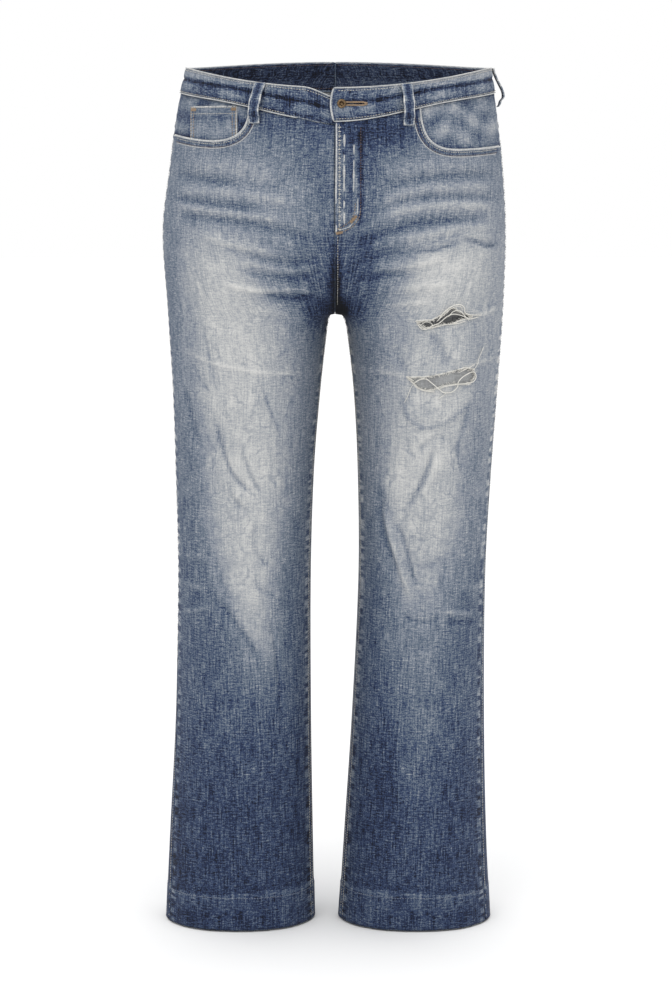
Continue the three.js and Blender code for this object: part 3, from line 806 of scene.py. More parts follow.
denimFront = denim("washedDenimFront")
denimBack = denim("washedDenimBack", puckers=0.55)
denimBand = denim("waistbandDenim", contrast=1.15, puckers=0.0, insideTone=-0.12, insideGrey=0.1)
denimInner = denim("unfadedDenim", contrast=0.9, puckers=0.0)
wornEdge = denim("wornEdge", contrast=1.5, puckers=0.0)
patchWash = [
    (0.0, (20, 20, 22)), (0.3, (84, 85, 87)), (0.5, (138, 139, 141)),
    (0.7, (174, 176, 176)), (1.0, (220, 220, 218)),
]
patchCloth = denim("patchTwill", contrast=0.6, wash=patchWash, puckers=0.0)
creamThread = thread("creamThread", (214, 209, 196), (150, 148, 145))
tanThread = thread("tanThread", (160, 134, 104), (100, 82, 66))
hemThread = thread("hemThread", (140, 146, 158), (84, 92, 112))
brownThread = thread("brownThread", (92, 66, 58), (50, 38, 42))
whiteYarn = thread("whiteYarn", (236, 233, 224), (190, 188, 182))
print("materials made")

# how faded the cloth is: for heights, the brightness of the plain cloth at the right and left
sideTone = [
    [20, 118, 118], [-60, 116, 112], [-110, 126, 124], [-150, 134, 134], [-200, 138, 140],
    [-260, 143, 152], [-320, 144, 154], [-400, 142, 152], [-470, 122, 142], [-560, 113, 132],
    [-640, 103, 114], [-700, 98, 102], [-760, 92, 96], [-820, 80, 88], [-900, 69, 76],
    [-1000, 61, 67], [-1092, 61, 68],
]
# height, then distance of the middle of the thigh's fade from x = 0, its half width, its amount
thighFade = {
    right: [
        [20, 120, 60, 0], [-170, 125, 60, 0], [-200, 140, 55, 14], [-225, 144, 50, 34],
        [-250, 142, 50, 44], [-285, 134, 56, 46], [-320, 124, 62, 47], [-400, 118, 60, 46],
        [-460, 112, 57, 62], [-530, 112, 52, 70], [-600, 112, 44, 74], [-650, 108, 38, 66],
        [-690, 104, 30, 58], [-720, 96, 28, 42], [-750, 90, 30, 26], [-800, 92, 45, 10],
        [-860, 95, 50, 3], [-1092, 90, 50, 0],
    ],
    left: [
        [20, 150, 60, 0], [-170, 150, 60, 2], [-205, 152, 50, 16], [-235, 146, 48, 36],
        [-285, 130, 56, 36], [-320, 126, 60, 22], [-355, 122, 56, 26], [-400, 120, 52, 28],
        [-440, 116, 50, 40], [-500, 110, 48, 48], [-560, 108, 46, 50], [-620, 108, 40, 50],
        [-665, 108, 36, 42], [-700, 106, 36, 30], [-760, 104, 38, 20], [-820, 100, 34, 18],
        [-900, 98, 34, 12], [-1000, 98, 40, 3], [-1092, 98, 45, 0],
    ],
}
# half, distance from the middle, height, half width, half height, change of brightness.
# Most spots are fading of the cloth; the dark spots along the middle near the crotch are painted
# shade over less faded cloth, the darkest ones at the crotch are painted shade alone, and the dark
# strips along the right leg's outer side are painted shade.
frontFadingAndShade = [
    (right, 0, -268, 62, 48, -62), (left, 0, -262, 58, 52, -68),
    (right, 6, -308, 34, 26, -52), (left, 8, -300, 34, 26, -46),
    (right, 0, -170, 16, 60, -26), (left, 0, -170, 12, 60, -10),
    (right, 20, -210, 40, 22, -16), (left, 60, -80, 44, 22, -34),
    (right, 75, -72, 40, 12, -22), (right, 40, -110, 34, 24, -12),
    (left, 55, -120, 40, 26, -10), (right, 22, -370, 16, 80, -20), (left, 32, -350, 20, 90, -16),
    (left, 165, -235, 36, 26, 12), (left, 108, -245, 26, 34, 10),
    (right, 52, -470, 26, 120, -12), (left, 46, -560, 20, 160, -16),
    (right, 180, -500, 24, 120, -6), (right, 178, -420, 14, 60, -8),
    (left, 118, -470, 26, 30, 10), (left, 176, -450, 14, 80, -10),
    (right, 120, -640, 22, 26, 10), (right, 150, -590, 10, 60, 8),
    (left, 50, -900, 26, 180, -7), (right, 45, -860, 16, 150, -6),
    (left, 9, -301, 8, 10, -120), (left, 4, -286, 4, 10, -40), (right, 4, -300, 6, 10, -20),
    (left, 128, -402, 34, 26, 14), (left, 80, -330, 16, 50, -10),
    (left, 38, -215, 24, 18, -24), (left, 50, -250, 24, 20, -14), (left, 50, -285, 20, 16, -12),
    (left, 62, -900, 22, 110, -14), (left, 162, -930, 22, 100, -10),
    (right, 206, -300, 18, 150, -18), (right, 206, -985, 18, 70, -13),
    (left, 25, -140, 26, 70, -30), (right, 22, -145, 16, 40, -26), (left, 52, -165, 20, 50, -16),
    (left, 2, -255, 6, 42, -80), (right, 2, -255, 5, 42, -70),
    (left, 75, -500, 12, 70, 8), (right, 112, -495, 44, 30, 11), (left, 138, -570, 18, 50, 9),
    (right, 95, -640, 26, 50, 9), (right, 178, -320, 14, 60, -12), (left, 24, -250, 10, 12, -16),
    (right, 208, -320, 12, 160, -8), (left, 168, -160, 24, 30, 9),
    (left, 50, -80, 60, 20, -24),
    (right, 25, -80, 30, 20, -22), (left, 50, -355, 16, 40, -20), (left, 112, -425, 24, 16, -16),
    (right, 204, -350, 16, 120, -12),
    (right, 62, -495, 20, 80, 17), (left, 75, -512, 16, 34, 16), (right, 100, -705, 32, 42, 13),
]
# the same columns, with None for both halves: the dark spots at the crotch are painted shade, the
# pale ones fading
backFadingAndShade = [
    (None, 110, -190, 70, 60, 26), (None, 105, -420, 50, 130, 22), (None, 110, -270, 60, 30, 18),
    (None, 0, -280, 60, 46, -44), (None, 6, -318, 34, 26, -34), (None, 110, -610, 60, 60, 12),
    (None, 110, -620, 70, 90, 6), (None, 22, -400, 18, 110, -14), (None, 80, -1040, 60, 40, 6),
]
hemWear = {
    "sewn": -1047, "wave": 3, "waveLength": 40.0, "rubbed": 8, "blocks": 2.2, "foot": -1082,
    "pale": 26, "dark": 9, "darkAbove": 7, "lowDark": 8, "lowHeight": -1074,
}


def hemTopAt(x):
    return hemWear["sewn"] + hemWear["wave"] * np.sin(x / hemWear["waveLength"])


def fadeAt(half, facing, x, z):
    tone = along(sideTone, half + 1, z)
    if facing == front:
        middle, width, amount = (along(thighFade[half], column, z) for column in (1, 2, 3))
        tone = tone + amount * np.exp(-np.abs((x - middle) / width) ** 2.8)
    else:
        tone = tone - 6
    # spots of fading, and spots of painted shade at the crotch and along the right leg's outer side
    for which, px, pz, wide, tall, change in frontFadingAndShade if facing == front else backFadingAndShade:
        if which in (None, half):
            tone = tone + change * np.exp(-((x - px) / wide) ** 2 - ((z - pz) / tall) ** 2)
    # the turned-up hem is rubbed in blocks, with a pale line where it is sewn
    above = z - hemTopAt(x)
    blocks = np.sin(x / 7.3 + 1.3 * np.sin(x / 19.0)) * 4 + np.sin(x / 3.1) * 2
    rubbed = hemWear["rubbed"] + hemWear["blocks"] * blocks
    tone = tone + np.where(above < 0, rubbed * smooth((z - hemWear["foot"]) / 22), 0)
    tone = tone - hemWear["dark"] * bell(above - hemWear["darkAbove"], 4)
    tone = tone + hemWear["pale"] * bell(above, 2.4)
    tone = tone - hemWear["lowDark"] * bell(z - hemWear["lowHeight"], 4)
    # the creases' tone: rubbed paleness on ridges, painted shade in the creases
    return (tone + creases(half, facing, x, z)[1]) / 255


gathers = {"pitch": 13.0, "wander": 0.4, "wanderLength": 47.0, "middle": 5, "reach": 4.5}


def puckerHeight(z, gap, height):
    wander = gathers["wander"] * np.sin(z / gathers["wanderLength"])
    beat = np.sin(2 * math.pi * (z / gathers["pitch"] + wander))
    return height * beat * bell(gap - gathers["middle"], gathers["reach"])


# front and back legs
legs = {
    "rowsAbove": 76, "rowsBelow": 236, "columns": 94, "middleColumn": 47, "thickness": 1.1,
    "pucker": 0.5, "seamRoll": 0.9, "rollWidth": 1.4, "topRoll": 0.8, "hemProud": 0.7,
    "mouthRise": 0.7, "mouthShade": 0.13, "mouthPale": 0.06, "topShade": 0.10,
    "farAway": 60.0,  # what counts as out of a seam's reach
}
fly = {  # the raised strip beside the closed fly, on the left front
    "rise": 1.3, "edge": 36, "bottom": -208, "ripple": 0.5, "rippleLength": 11,
    "top": -72, "toneBottom": -196,
    # distance from the middle, half width, tone, its steady and its beating share, beat's length
    "bands": [
        (10, 3.2, 0.10, 0.0, 1.0, 5), (19.5, 3.0, -0.10, 1.0, 0.0, 6),
        (31, 3.4, -0.20, 1.0, 0.0, 6), (25.6, 2.4, 0.20, 0.6, 0.4, 6),
    ],
}
mouth = {"inner": 103, "outer": 220.0, "low": [-90.5, -101], "side": [-76, -94], "height": -85.0}
upperTear = [
    (100, -309), (109, -316), (118, -317), (129, -312.5), (141, -312.5), (152, -308), (168, -304),
    (160, -301), (151, -298), (146, -293), (140, -294), (134, -300), (119, -308),
]
lowerTear = [
    (90, -379), (97, -385), (101, -390.5), (111, -394), (121, -393), (130, -389), (148, -386),
    (165, -387), (172, -379), (170, -370), (159, -367.5), (145, -371), (128, -375.5), (111, -378.5),
]


def bezier(points, steps):
    t = np.linspace(0, 1, steps)[:, None]
    pts = [np.array(p, float) for p in points]
    while len(pts) > 1:
        pts = [mix(a, b, t) for a, b in zip(pts, pts[1:])]
    return pts[0]


def mouthLine(half):
    low, side, inner = mouth["low"][half], mouth["side"][half], mouth["inner"]
    middle = (inner + 46, low)
    first = bezier([(inner, -50), (inner + 1.5, low + 14), (inner + 15, low), middle], 24)
    second = bezier([middle, (inner + 76, low), (mouth["outer"], side)], 16)
    return np.concatenate([first, second[1:]])


def fromMouth(half, x, z):
    outline = np.concatenate([[(mouth["inner"], 0.0)], mouthLine(half), [(mouth["outer"], 0.0)]])
    return signedGap(x, z, outline)


def legGrid(half, facing):
    rows = np.concatenate([np.linspace(0, 1, legs["rowsAbove"])[:-1], [0.9995]])
    drops = np.linspace(6.4, form["crotch"] - form["hem"], legs["rowsBelow"])
    drops = np.concatenate([[0.003, 0.8, 1.8, 3.0, 4.5], drops])
    across = np.linspace(0, 1, legs["columns"])
    rough = facing * across * math.pi / 2
    top = hangingTop(half, rough) if facing > 0 else yokeBottom(rough) - form["seamGap"]
    above = mix(top[None, :], form["crotch"], rows[:, None])
    below = np.repeat((form["crotch"] - drops)[:, None], len(across), axis=1)
    z = np.concatenate([above, below])
    return z, seamToSeam(half, z, facing, np.broadcast_to(across, z.shape))


def seamGaps(facing, x, z, run):
    # how far each place is from the nearest seam: as it looks, and along the cloth
    toOuter, toInner = run, run[:, -1:] - run
    if facing == front:
        # seen from the front the bars beside a seam are as broad as beside a flat one,
        toOuter = toOuter ** 0.45 * np.abs(x - x[:, :1]) ** 0.55
        # and the hips' seams hardly show
        toOuter = toOuter + 7 * smooth((z + 350) / 80)
        seen = toInner ** 0.45 * np.abs(x - x[:, -1:]) ** 0.55
        toInner = np.where(z < form["crotch"] - 8, seen, toInner)
        # the centre seam of the front doesn't count
        counts = z <= form["crotch"]
    else:
        counts = np.full(z.shape, True)
    looks = np.minimum(toOuter, np.where(counts, toInner, legs["farAway"]))
    arc = np.minimum(run, np.where(counts, run[:, -1:] - run, legs["farAway"]))
    return looks, arc


def flyTone(x, z):
    tone = 0
    for middle, width, change, steady, beating, length in fly["bands"]:
        beat = steady + beating * np.sin(z / length)
        tone = tone + change * bell(x - middle, width) * beat
    within = smooth((z - fly["toneBottom"]) / 10) * smooth((fly["top"] - z) / 8)
    return tone * within


def legPanel(half, facing):
    z, angle = legGrid(half, facing)
    flat = basePoint(half, z, angle)
    x = flat[..., 0] * direction[half]
    run = lengthsAlong(flat, 1)
    seam, arc = seamGaps(facing, x, z, run)
    toTop = z[:1, :] - z
    toHem = hemTopAt(x) - z
    out = puckerHeight(z, arc, legs["pucker"]) - legs["seamRoll"] * bell(arc, legs["rollWidth"])
    out = out + legs["hemProud"] * smooth(toHem / 1.5)
    out = out + 0.35 * np.sin(x / 4.1 + 2 * np.sin(x / 17)) * smooth((toHem + 3) / 8)
    out = out - legs["topRoll"] * bell(toTop, 2.0)
    # painted shade along each panel's top, under the waistband or the yoke
    fade = fadeAt(half, facing, x, z) - legs["topShade"] * bell(toTop, 6)
    keep, edge = None, np.full(z.shape, farOff)
    if facing == front:
        keep = fromMouth(half, x, z)
        ring = np.abs(keep)
        out = out + legs["mouthRise"] * bell(np.minimum(ring, farOff), 6)
        # painted shade just below the edge of the pocket mouth
        fade = fade - legs["mouthShade"] * bell(ring - 5.2, 2.6)
        fade = fade + legs["mouthPale"] * bell(ring - 9, 2.4)
        if half == left:
            raised = smooth((fly["edge"] - x) / 5) * smooth((z - fly["bottom"]) / 14)
            ripple = np.sin(x * 2 * math.pi / fly["rippleLength"])
            ripple = ripple * smooth((fly["edge"] - 3 - x) / 6) * smooth((z + 200) / 10)
            out = out + fly["rise"] * raised + fly["ripple"] * ripple
            fade = fade + flyTone(x, z)
            for tear in (upperTear, lowerTear):
                keep = np.minimum(keep, signedGap(x, z, tear))
        edge = np.minimum(edge, np.abs(keep))
    middle = legs["middleColumn"]
    word = "front" if facing > 0 else "back"
    return sheetMesh(
        f"cloth_{word}_{sideWord[half]}", clothPoint(half, z, angle, out),
        clothPoint(half, z, angle, out - legs["thickness"]),
        np.stack([run - run[:, middle:middle + 1], -z], -1),
        {"fade": fade, "seam": seam, "edge": edge},
        denimFront if facing > 0 else denimBack, keep,
    )


panels = {
    (word, half): legPanel(half, facing)
    for half in (right, left) for facing, word in ((front, "front"), (back, "back"))
}
print("legs made")

# yokes
yokes = {
    "columns": 84, "rows": 18, "thickness": 1.1, "pucker": 0.4, "rise": 0.5, "roll": 0.7,
    "darker": 0.03, "paleEdge": 0.10,
}


def yokePanel(half):
    across = np.linspace(0, 1, yokes["columns"])
    rough = -across * math.pi / 2
    down = np.linspace(0, 1, yokes["rows"])[:, None]
    z = mix(hangingTop(half, rough)[None, :], yokeBottom(rough)[None, :], down)
    angle = seamToSeam(half, z, back, np.broadcast_to(across, z.shape))
    flat = basePoint(half, z, angle)
    x = flat[..., 0] * direction[half]
    run = lengthsAlong(flat, 1)
    gap = np.minimum(run, run[:, -1:] - run)
    toBottom = z - z[-1:, :]
    out = puckerHeight(z, gap, yokes["pucker"]) - legs["seamRoll"] * bell(gap, legs["rollWidth"])
    out = out + yokes["rise"] * bell(toBottom - 3, 3) - yokes["roll"] * bell(toBottom, 1.2)
    fade = fadeAt(half, back, x, z) - yokes["darker"] + yokes["paleEdge"] * bell(toBottom, 1.6)
    return sheetMesh(
        f"cloth_yoke_{sideWord[half]}", clothPoint(half, z, angle, out),
        clothPoint(half, z, angle, out - yokes["thickness"]), np.stack([run, -z], -1),
        {"fade": fade, "seam": gap, "edge": np.minimum(toBottom + 0.4, farOff)}, denimBack,
    )


yokePieces = {half: yokePanel(half) for half in (right, left)}
print("yokes made")

# waistband
band = {
    "columns": 170, "rows": 24, "out": 1.2, "thickness": 2.3, "lapEnd": 34, "tabEnd": 1.5,
    "tabBulge": 3.5, "puff": 1.3, "creaseShare": 0.40, "creaseDepth": 0.9,
    "lowerPuff": 0.9, "wrinkle": 0.45, "edgeRoll": 0.9, "lapSink": 3.6,
    "tone": 0.31, "sidePaler": 0.05, "rightDarker": 0.05, "creaseShade": 0.26,
    "rubbed": 0.13, "mottle": 0.08, "sewnDark": 0.10, "bottomDark": 0.06,
}
buttonPlace = {"x": 8.0, "z": -46.0, "eye": 3.2, "slotEnd": 37.0, "slotHalf": 0.9}


def bandPlace(half, across, down):
    # angle and height of places on a half waistband, and how far they sink inwards
    waist = float(section(half, 0.0)[1])
    reach = band["tabEnd"] + band["tabBulge"] * np.sin(math.pi * down)
    if half == right:
        reach = np.full_like(down, band["lapEnd"])
    start = math.pi / 2 + np.arcsin(reach / waist)
    last = float(seamToSeam(half, np.array(0.0), back, np.array(1.0)))
    angle = mix(start, last, across ** 1.25)
    x = np.where(angle > 0, waist * np.cos(angle), waist)
    z = mix(bandTop(angle), bandBottom(angle), down)
    sink = np.zeros_like(z)
    if half == right:
        z = z - mix(topSag(x), bottomSag(x), down)
        sink = band["lapSink"] * smooth((24 - x) / 16)
    return angle, z, sink, x


def puffAt(down, middle):
    # two soft bulges above and below the crease along the waistband
    upper = np.sin(math.pi * np.clip(down / middle, 0, 1)) ** 0.8
    lower = np.sin(math.pi * np.clip((down - middle) / (1 - middle), 0, 1)) ** 0.8
    return upper + band["lowerPuff"] * lower


def bandTone(half, x, down, middle, ahead):
    side = smooth((x - 60) / 120)
    tone = band["tone"] + band["sidePaler"] * side
    tone = tone - (band["rightDarker"] if half == right else 0.0)
    top = mix(0.15, 0.20, side) * smooth((middle - 0.06 - down) / 0.1) * smooth((x - 20) / 60)
    tone = tone + ahead * (top + 0.03)
    # painted shade along the waistband's crease
    crease = bell(down - middle - 0.02, 0.06) * smooth((x - 4) / 10)
    tone = tone - band["creaseShade"] * ahead * crease
    tone = tone + band["rubbed"] * bell(down - 0.68, 0.14) * (0.6 + 0.4 * np.sin(x / 14))
    mottle = np.sin(x / 6 + 2 * np.sin(x / 37))
    tone = tone + band["mottle"] * mottle * bell(down - 0.6, 0.3)
    tone = tone - band["sewnDark"] * bell(down - 0.90, 0.05) * (0.6 + 0.4 * np.sin(x / 5))
    return tone - band["bottomDark"] * bell(1 - down, 0.10)


def bandHalf(half):
    across, down = np.meshgrid(
        np.linspace(0, 1, band["columns"]), np.linspace(0, 1, band["rows"])
    )
    angle, z, sink, x = bandPlace(half, across, down)
    ahead = smooth((np.sin(angle) + 0.15) / 0.3)
    middle = band["creaseShare"] + 0.03 * np.sin(x / 23.0)
    out = band["out"] + band["puff"] * (puffAt(down, middle) - 0.3) * mix(0.35, 1.0, ahead)
    out = out - band["creaseDepth"] * ahead * bell(down - middle, 0.05)
    wrinkle = np.sin(x / 5.2 + 3 * np.sin(x / 31)) * np.sin(math.pi * down)
    out = out + band["wrinkle"] * wrinkle
    out = out - band["edgeRoll"] * (bell(down, 0.035) + bell(1 - down, 0.035))
    outer = clothPoint(half, z, angle, out - sink)
    inner = clothPoint(half, z, angle, band["out"] - sink - band["thickness"])
    run, fall = lengthsAlong(outer, 1), lengthsAlong(outer, 0)
    edge = np.minimum(np.minimum(fall, fall[-1:, :] - fall), run if half == left else farOff)
    keep = None
    if half == left:
        at, end = buttonPlace["x"], buttonPlace["slotEnd"]
        px, pz = outer[..., 0], z - buttonPlace["z"]
        eye = np.hypot(px - at, pz) - buttonPlace["eye"]
        slot = np.maximum(
            np.abs(pz) - buttonPlace["slotHalf"], np.abs(px - (at + end) / 2) - (end - at) / 2
        )
        keep = np.where(np.sin(angle) > 0, np.minimum(eye, slot), 9.0)
    return sheetMesh(
        f"cloth_waistband_{sideWord[half]}", outer, inner, np.stack([run, fall], -1),
        {"fade": bandTone(half, x, down, middle, ahead), "seam": farOff, "edge": edge},
        denimBand, keep,
    )


bandPieces = {half: bandHalf(half) for half in (right, left)}
print("waistband made")

# belt loops
loops = {
    "width": 13, "thickness": 2.0, "foot": 18, "room": 9, "rows": 44, "columns": 11,
    "tone": 0.42, "footDark": 0.12, "middleDark": 0.22, "footBulge": 1.2, "height": -30.0,
    "places": {  # half, angle, slant of its top towards the middle
        "front_right": (right, float(angleAt(right, -30.0, 93.0)), 5.0),
        "front_left": (left, float(angleAt(left, -30.0, 86.0)), 0.0),
        "side_right": (right, -0.36, 0.0),
        "side_left": (left, -0.03, 0.0),
        "back": (left, -math.pi / 2, 0.0),
    },
}


def beltLoop(name, half, angle, slant):
    centre, width, middle, frontDepth, backDepth = section(half, loops["height"])
    depth = frontDepth if angle > 0 else backDepth
    perMm = 1 / math.hypot(float(width) * math.sin(angle), float(depth) * math.cos(angle))
    across, t = np.meshgrid(
        np.linspace(-0.5, 0.5, loops["columns"]), np.linspace(0, 1, loops["rows"])
    )
    z = mix(bandTop(np.array(angle)) - 0.5, bandBottom(np.array(angle)) - loops["foot"], t)
    lean = slant * (0.6 - t) * smooth((0.9 - t) / 0.3)
    wide = loops["width"] * (1 + 0.05 * np.sin(t * 17))
    turn = angle + (across * wide + lean) * perMm
    seat = mix(band["out"] + 1.6, 0.4, smooth((t - 0.78) / 0.08))
    slack = name.startswith("side")
    lift = np.sin(math.pi * t ** (1.9 if slack else 1.0))
    room = loops["room"] - (1.5 if slack else 3.5)
    base = seat + 0.3 + room * lift + loops["footBulge"] * bell(t - 0.96, 0.05)
    ridge = 0.5 * np.cos(across * 2 * math.pi) ** 2
    away = base + loops["thickness"] + ridge - 0.6 * (2 * np.abs(across)) ** 8
    outer = clothPoint(half, z, turn, away)
    run, fall = lengthsAlong(outer, 1), lengthsAlong(outer, 0)
    edge = np.minimum(np.minimum(run, run[:, -1:] - run), fall[-1:, :] - fall + 0.2)
    fade = loops["tone"] + 0.06 * np.sin(t * 21) - loops["footDark"] * bell(t - 0.74, 0.05)
    fade = fade - loops["middleDark"] * bell(across, 0.2)
    return sheetMesh(
        f"cloth_loop_{name}", outer, clothPoint(half, z, turn, base),
        np.stack([run, fall], -1), {"fade": fade, "seam": farOff, "edge": edge}, denimBand,
    )


loopPieces = {name: beltLoop(name, *place) for name, place in loops["places"].items()}
print("belt loops made")

# pocket facings, coin pocket, back pockets, patch, hems and fly shield
pockets = {
    "facingInner": 91, "facingBelow": 24, "facingOut": {right: -2.9, left: -1.5},
    "facingTone": {right: 0.44, left: 0.52}, "shadow": 0.20, "thickness": 1.1,
    "coin": {
        "inner": 119.5, "outer": 179.5, "top": -47.5, "bottom": -112, "out": -1.5,
        "thickness": 1.0, "tone": 0.46,
    },
    "backBox": (36, 170, -114, -276), "backOut": 1.5, "backThickness": 1.15,
    "back": [(38, -116), (168, -116), (160, -256), (103, -274), (46, -256)],
}


def facingPiece(half):
    bottom = mouth["low"][half] - pockets["facingBelow"]
    down, across = np.meshgrid(np.linspace(0, 1, 44), np.linspace(0, 1, 60), indexing="ij")
    seamHeight = np.array(waistLine["seamHeight"])
    start = along(form["outerSeam"], half + 1, seamHeight) + 0.004
    rough = mix(start, float(angleAt(half, seamHeight, pockets["facingInner"])), across)
    z = mix(hangingTop(half, rough), bottom, down)
    inner = angleAt(half, z, pockets["facingInner"])
    angle = mix(along(form["outerSeam"], half + 1, z) + 0.004, inner, across)
    x = basePoint(half, z, angle)[..., 0] * direction[half]
    gap = fromMouth(half, x, z)
    wrinkle = 0.9 * np.sin(z / 4.6 + x / 19 + 1.6 * np.sin(x / 13)) + 0.6 * np.sin(x / 5.1 - z / 11)
    aside = smooth((0.16 - across) / 0.16)
    out = mix(pockets["facingOut"][half] + 0.55 * wrinkle * smooth(gap / -10), -0.2, aside)
    outer = clothPoint(half, z, angle, out)
    run = lengthsAlong(outer, 1)
    shadow = pockets["shadow"] * bell(np.minimum(np.abs(gap), 60), 5.0)
    darker = 0.10 * smooth((z + 52) / 10) if half == left else 0.04
    fade = pockets["facingTone"][half] + 0.08 * wrinkle - shadow - darker
    return sheetMesh(
        f"cloth_facing_{sideWord[half]}", outer,
        clothPoint(half, z, angle, out - pockets["thickness"]), np.stack([run, -z], -1),
        {"fade": fade, "seam": np.minimum(run, farOff), "edge": farOff}, denimFront,
    )


def overlay(name, half, facing, box, out, thickness, tone, material, outline=None, step=2.4):
    # a flat piece laid along the panel: a rectangle of x and z, or an outline inside it
    x0, x1, z0, z1 = box
    z, x = np.meshgrid(
        np.linspace(z0, z1, max(6, int(abs(z1 - z0) / step))),
        np.linspace(x0, x1, max(6, int(abs(x1 - x0) / step))), indexing="ij",
    )
    angle = facing * angleAt(half, z, x)
    keep, edge = None, np.minimum(np.minimum(x - x0, x1 - x), np.minimum(z0 - z, z - z1))
    if outline is not None:
        keep = -signedGap(x, z, outline)
        edge = np.abs(keep)
    outer = clothPoint(half, z, angle, out - 0.5 * bell(edge, 0.9) + 0.35 * bell(edge - 3.5, 2.4))
    return sheetMesh(
        name, outer, clothPoint(half, z, angle, out - thickness),
        np.stack([lengthsAlong(outer, 1), -z], -1),
        {"fade": tone(x, z, edge), "seam": farOff, "edge": edge}, material, keep,
    )


coin = pockets["coin"]


def coinTone(x, z, edge):
    tone = coin["tone"] + 0.04 * np.sin(x / 6 + z / 9) + 0.07 * bell(z + 78, 9)
    # the first darkening is painted shade where the coin pocket goes in under the edge of the
    # pocket mouth
    return tone - 0.12 * bell(z + 94, 8) - 0.10 * bell(z + 62, 2.0)


def patchTone(x, z, edge):
    shade = smooth((z + 380 - (x - 90) * 0.1) / 6)  # under the lower tear's upper edge
    return patch["tone"] + 0.02 * np.sin(x / 5) - 0.16 * shade


def backPocket(half):
    def tone(x, z, edge):
        return fadeAt(half, back, x, z) + 0.03 + 0.10 * bell(edge, 3) - 0.06 * bell(edge - 11, 4)

    return overlay(
        f"cloth_back_pocket_{sideWord[half]}", half, back, pockets["backBox"],
        pockets["backOut"], pockets["backThickness"], tone, denimBack, pockets["back"],
    )


facings = {half: facingPiece(half) for half in (right, left)}
coinPiece = overlay(
    "cloth_coin_pocket", right, front, (coin["inner"], coin["outer"], coin["top"], coin["bottom"]),
    coin["out"], coin["thickness"], coinTone, denimFront, step=1.6,
)
backPockets = {half: backPocket(half) for half in (right, left)}
print("pockets made")

patch = {
    "box": (84, 179, -352, -444), "out": -1.5, "thickness": 0.9, "tone": 0.60,
    "outline": np.concatenate([
        np.array([(177.0, -354.0), (86.0, -354.0)]),
        bezier([(86, -404), (90, -442), (130, -442)], 14),
        bezier([(130, -442), (172, -442), (177, -404)], 14)[1:],
    ]),
}
patchPiece = overlay(
    "cloth_tear_patch", left, front, patch["box"], patch["out"], patch["thickness"],
    patchTone, patchCloth, patch["outline"],
)

hem = {"columns": 160, "rows": 16, "top": -1046, "out": -1.6, "thickness": 1.1, "tone": 0.30}


def wrapped(angle):
    return (angle + math.pi) % (2 * math.pi) - math.pi


def hemRing(half):
    turn = np.linspace(0, 1, hem["columns"])[None, :] * 2 * math.pi
    z = np.linspace(hem["top"], form["hem"] + 0.4, hem["rows"])[:, None] + 0 * turn
    angle = wrapped(along(form["outerSeam"], half + 1, z) + turn)
    x = basePoint(half, z, angle)[..., 0]
    out = hem["out"] + 0.25 * np.sin(x / 4.1)
    outer = clothPoint(half, z, angle, out)
    edge = np.minimum(z[:1, :] - z, farOff)
    return sheetMesh(
        f"cloth_hem_{sideWord[half]}", outer, clothPoint(half, z, angle, out - hem["thickness"]),
        np.stack([lengthsAlong(outer, 1), -z], -1),
        {"fade": hem["tone"], "seam": farOff, "edge": edge}, denimInner, tube=True,
    )


hems = {half: hemRing(half) for half in (right, left)}

shieldSize = {"top": -80, "bottom": -218, "halfWidth": 26, "behind": 1.7, "tone": 0.33}


def flyShield():
    wide = shieldSize["halfWidth"]
    z, x = np.meshgrid(
        np.linspace(shieldSize["top"], shieldSize["bottom"], 60), np.linspace(-wide, wide, 25),
        indexing="ij",
    )
    aside = np.maximum(np.abs(x), 0.3)

    def face(out, behind):
        places = [clothPoint(half, z, angleAt(half, z, aside), out) for half in (left, right)]
        return np.where((x > 0)[..., None], *places) + np.array([0, behind, 0])

    return sheetMesh(
        "cloth_fly_shield", face(0.0, shieldSize["behind"]), face(-1.0, shieldSize["behind"] + 0.1),
        np.stack([x, -z], -1), {"fade": shieldSize["tone"], "seam": farOff, "edge": farOff},
        denimInner,
    )


shield = flyShield()
print("patch, hems and fly shield made")

# button
button = {
    "profile": [  # radius and height out of the cloth
        (0.05, -1.2), (2.2, -1.2), (2.2, 1.5), (3.6, 1.6), (4.8, 1.8), (5.4, 2.3), (5.5, 2.9),
        (5.2, 3.5), (4.5, 3.9), (3.8, 4.0), (3.1, 3.8), (2.6, 3.3), (2.35, 2.6), (2.2, 1.4),
        (2.0, 0.7), (0.05, 0.6),
    ],
    "steps": 40, "metallic": 0.85,
    "brass": [(0.2, (58, 46, 34)), (0.5, (116, 94, 68)), (0.8, (178, 156, 124))],
}


def bandsOfFaces(start, rings, steps):
    # quads between rings of places, and a lid at each end
    faces = []
    for r in range(rings - 1):
        for k in range(steps):
            n = (k + 1) % steps
            a, b = start + r * steps, start + (r + 1) * steps
            faces.append((a + k, b + k, b + n, a + n))
    faces.append(tuple(start + k for k in range(steps)))
    faces.append(tuple(start + (rings - 1) * steps + k for k in reversed(range(steps))))
    return faces


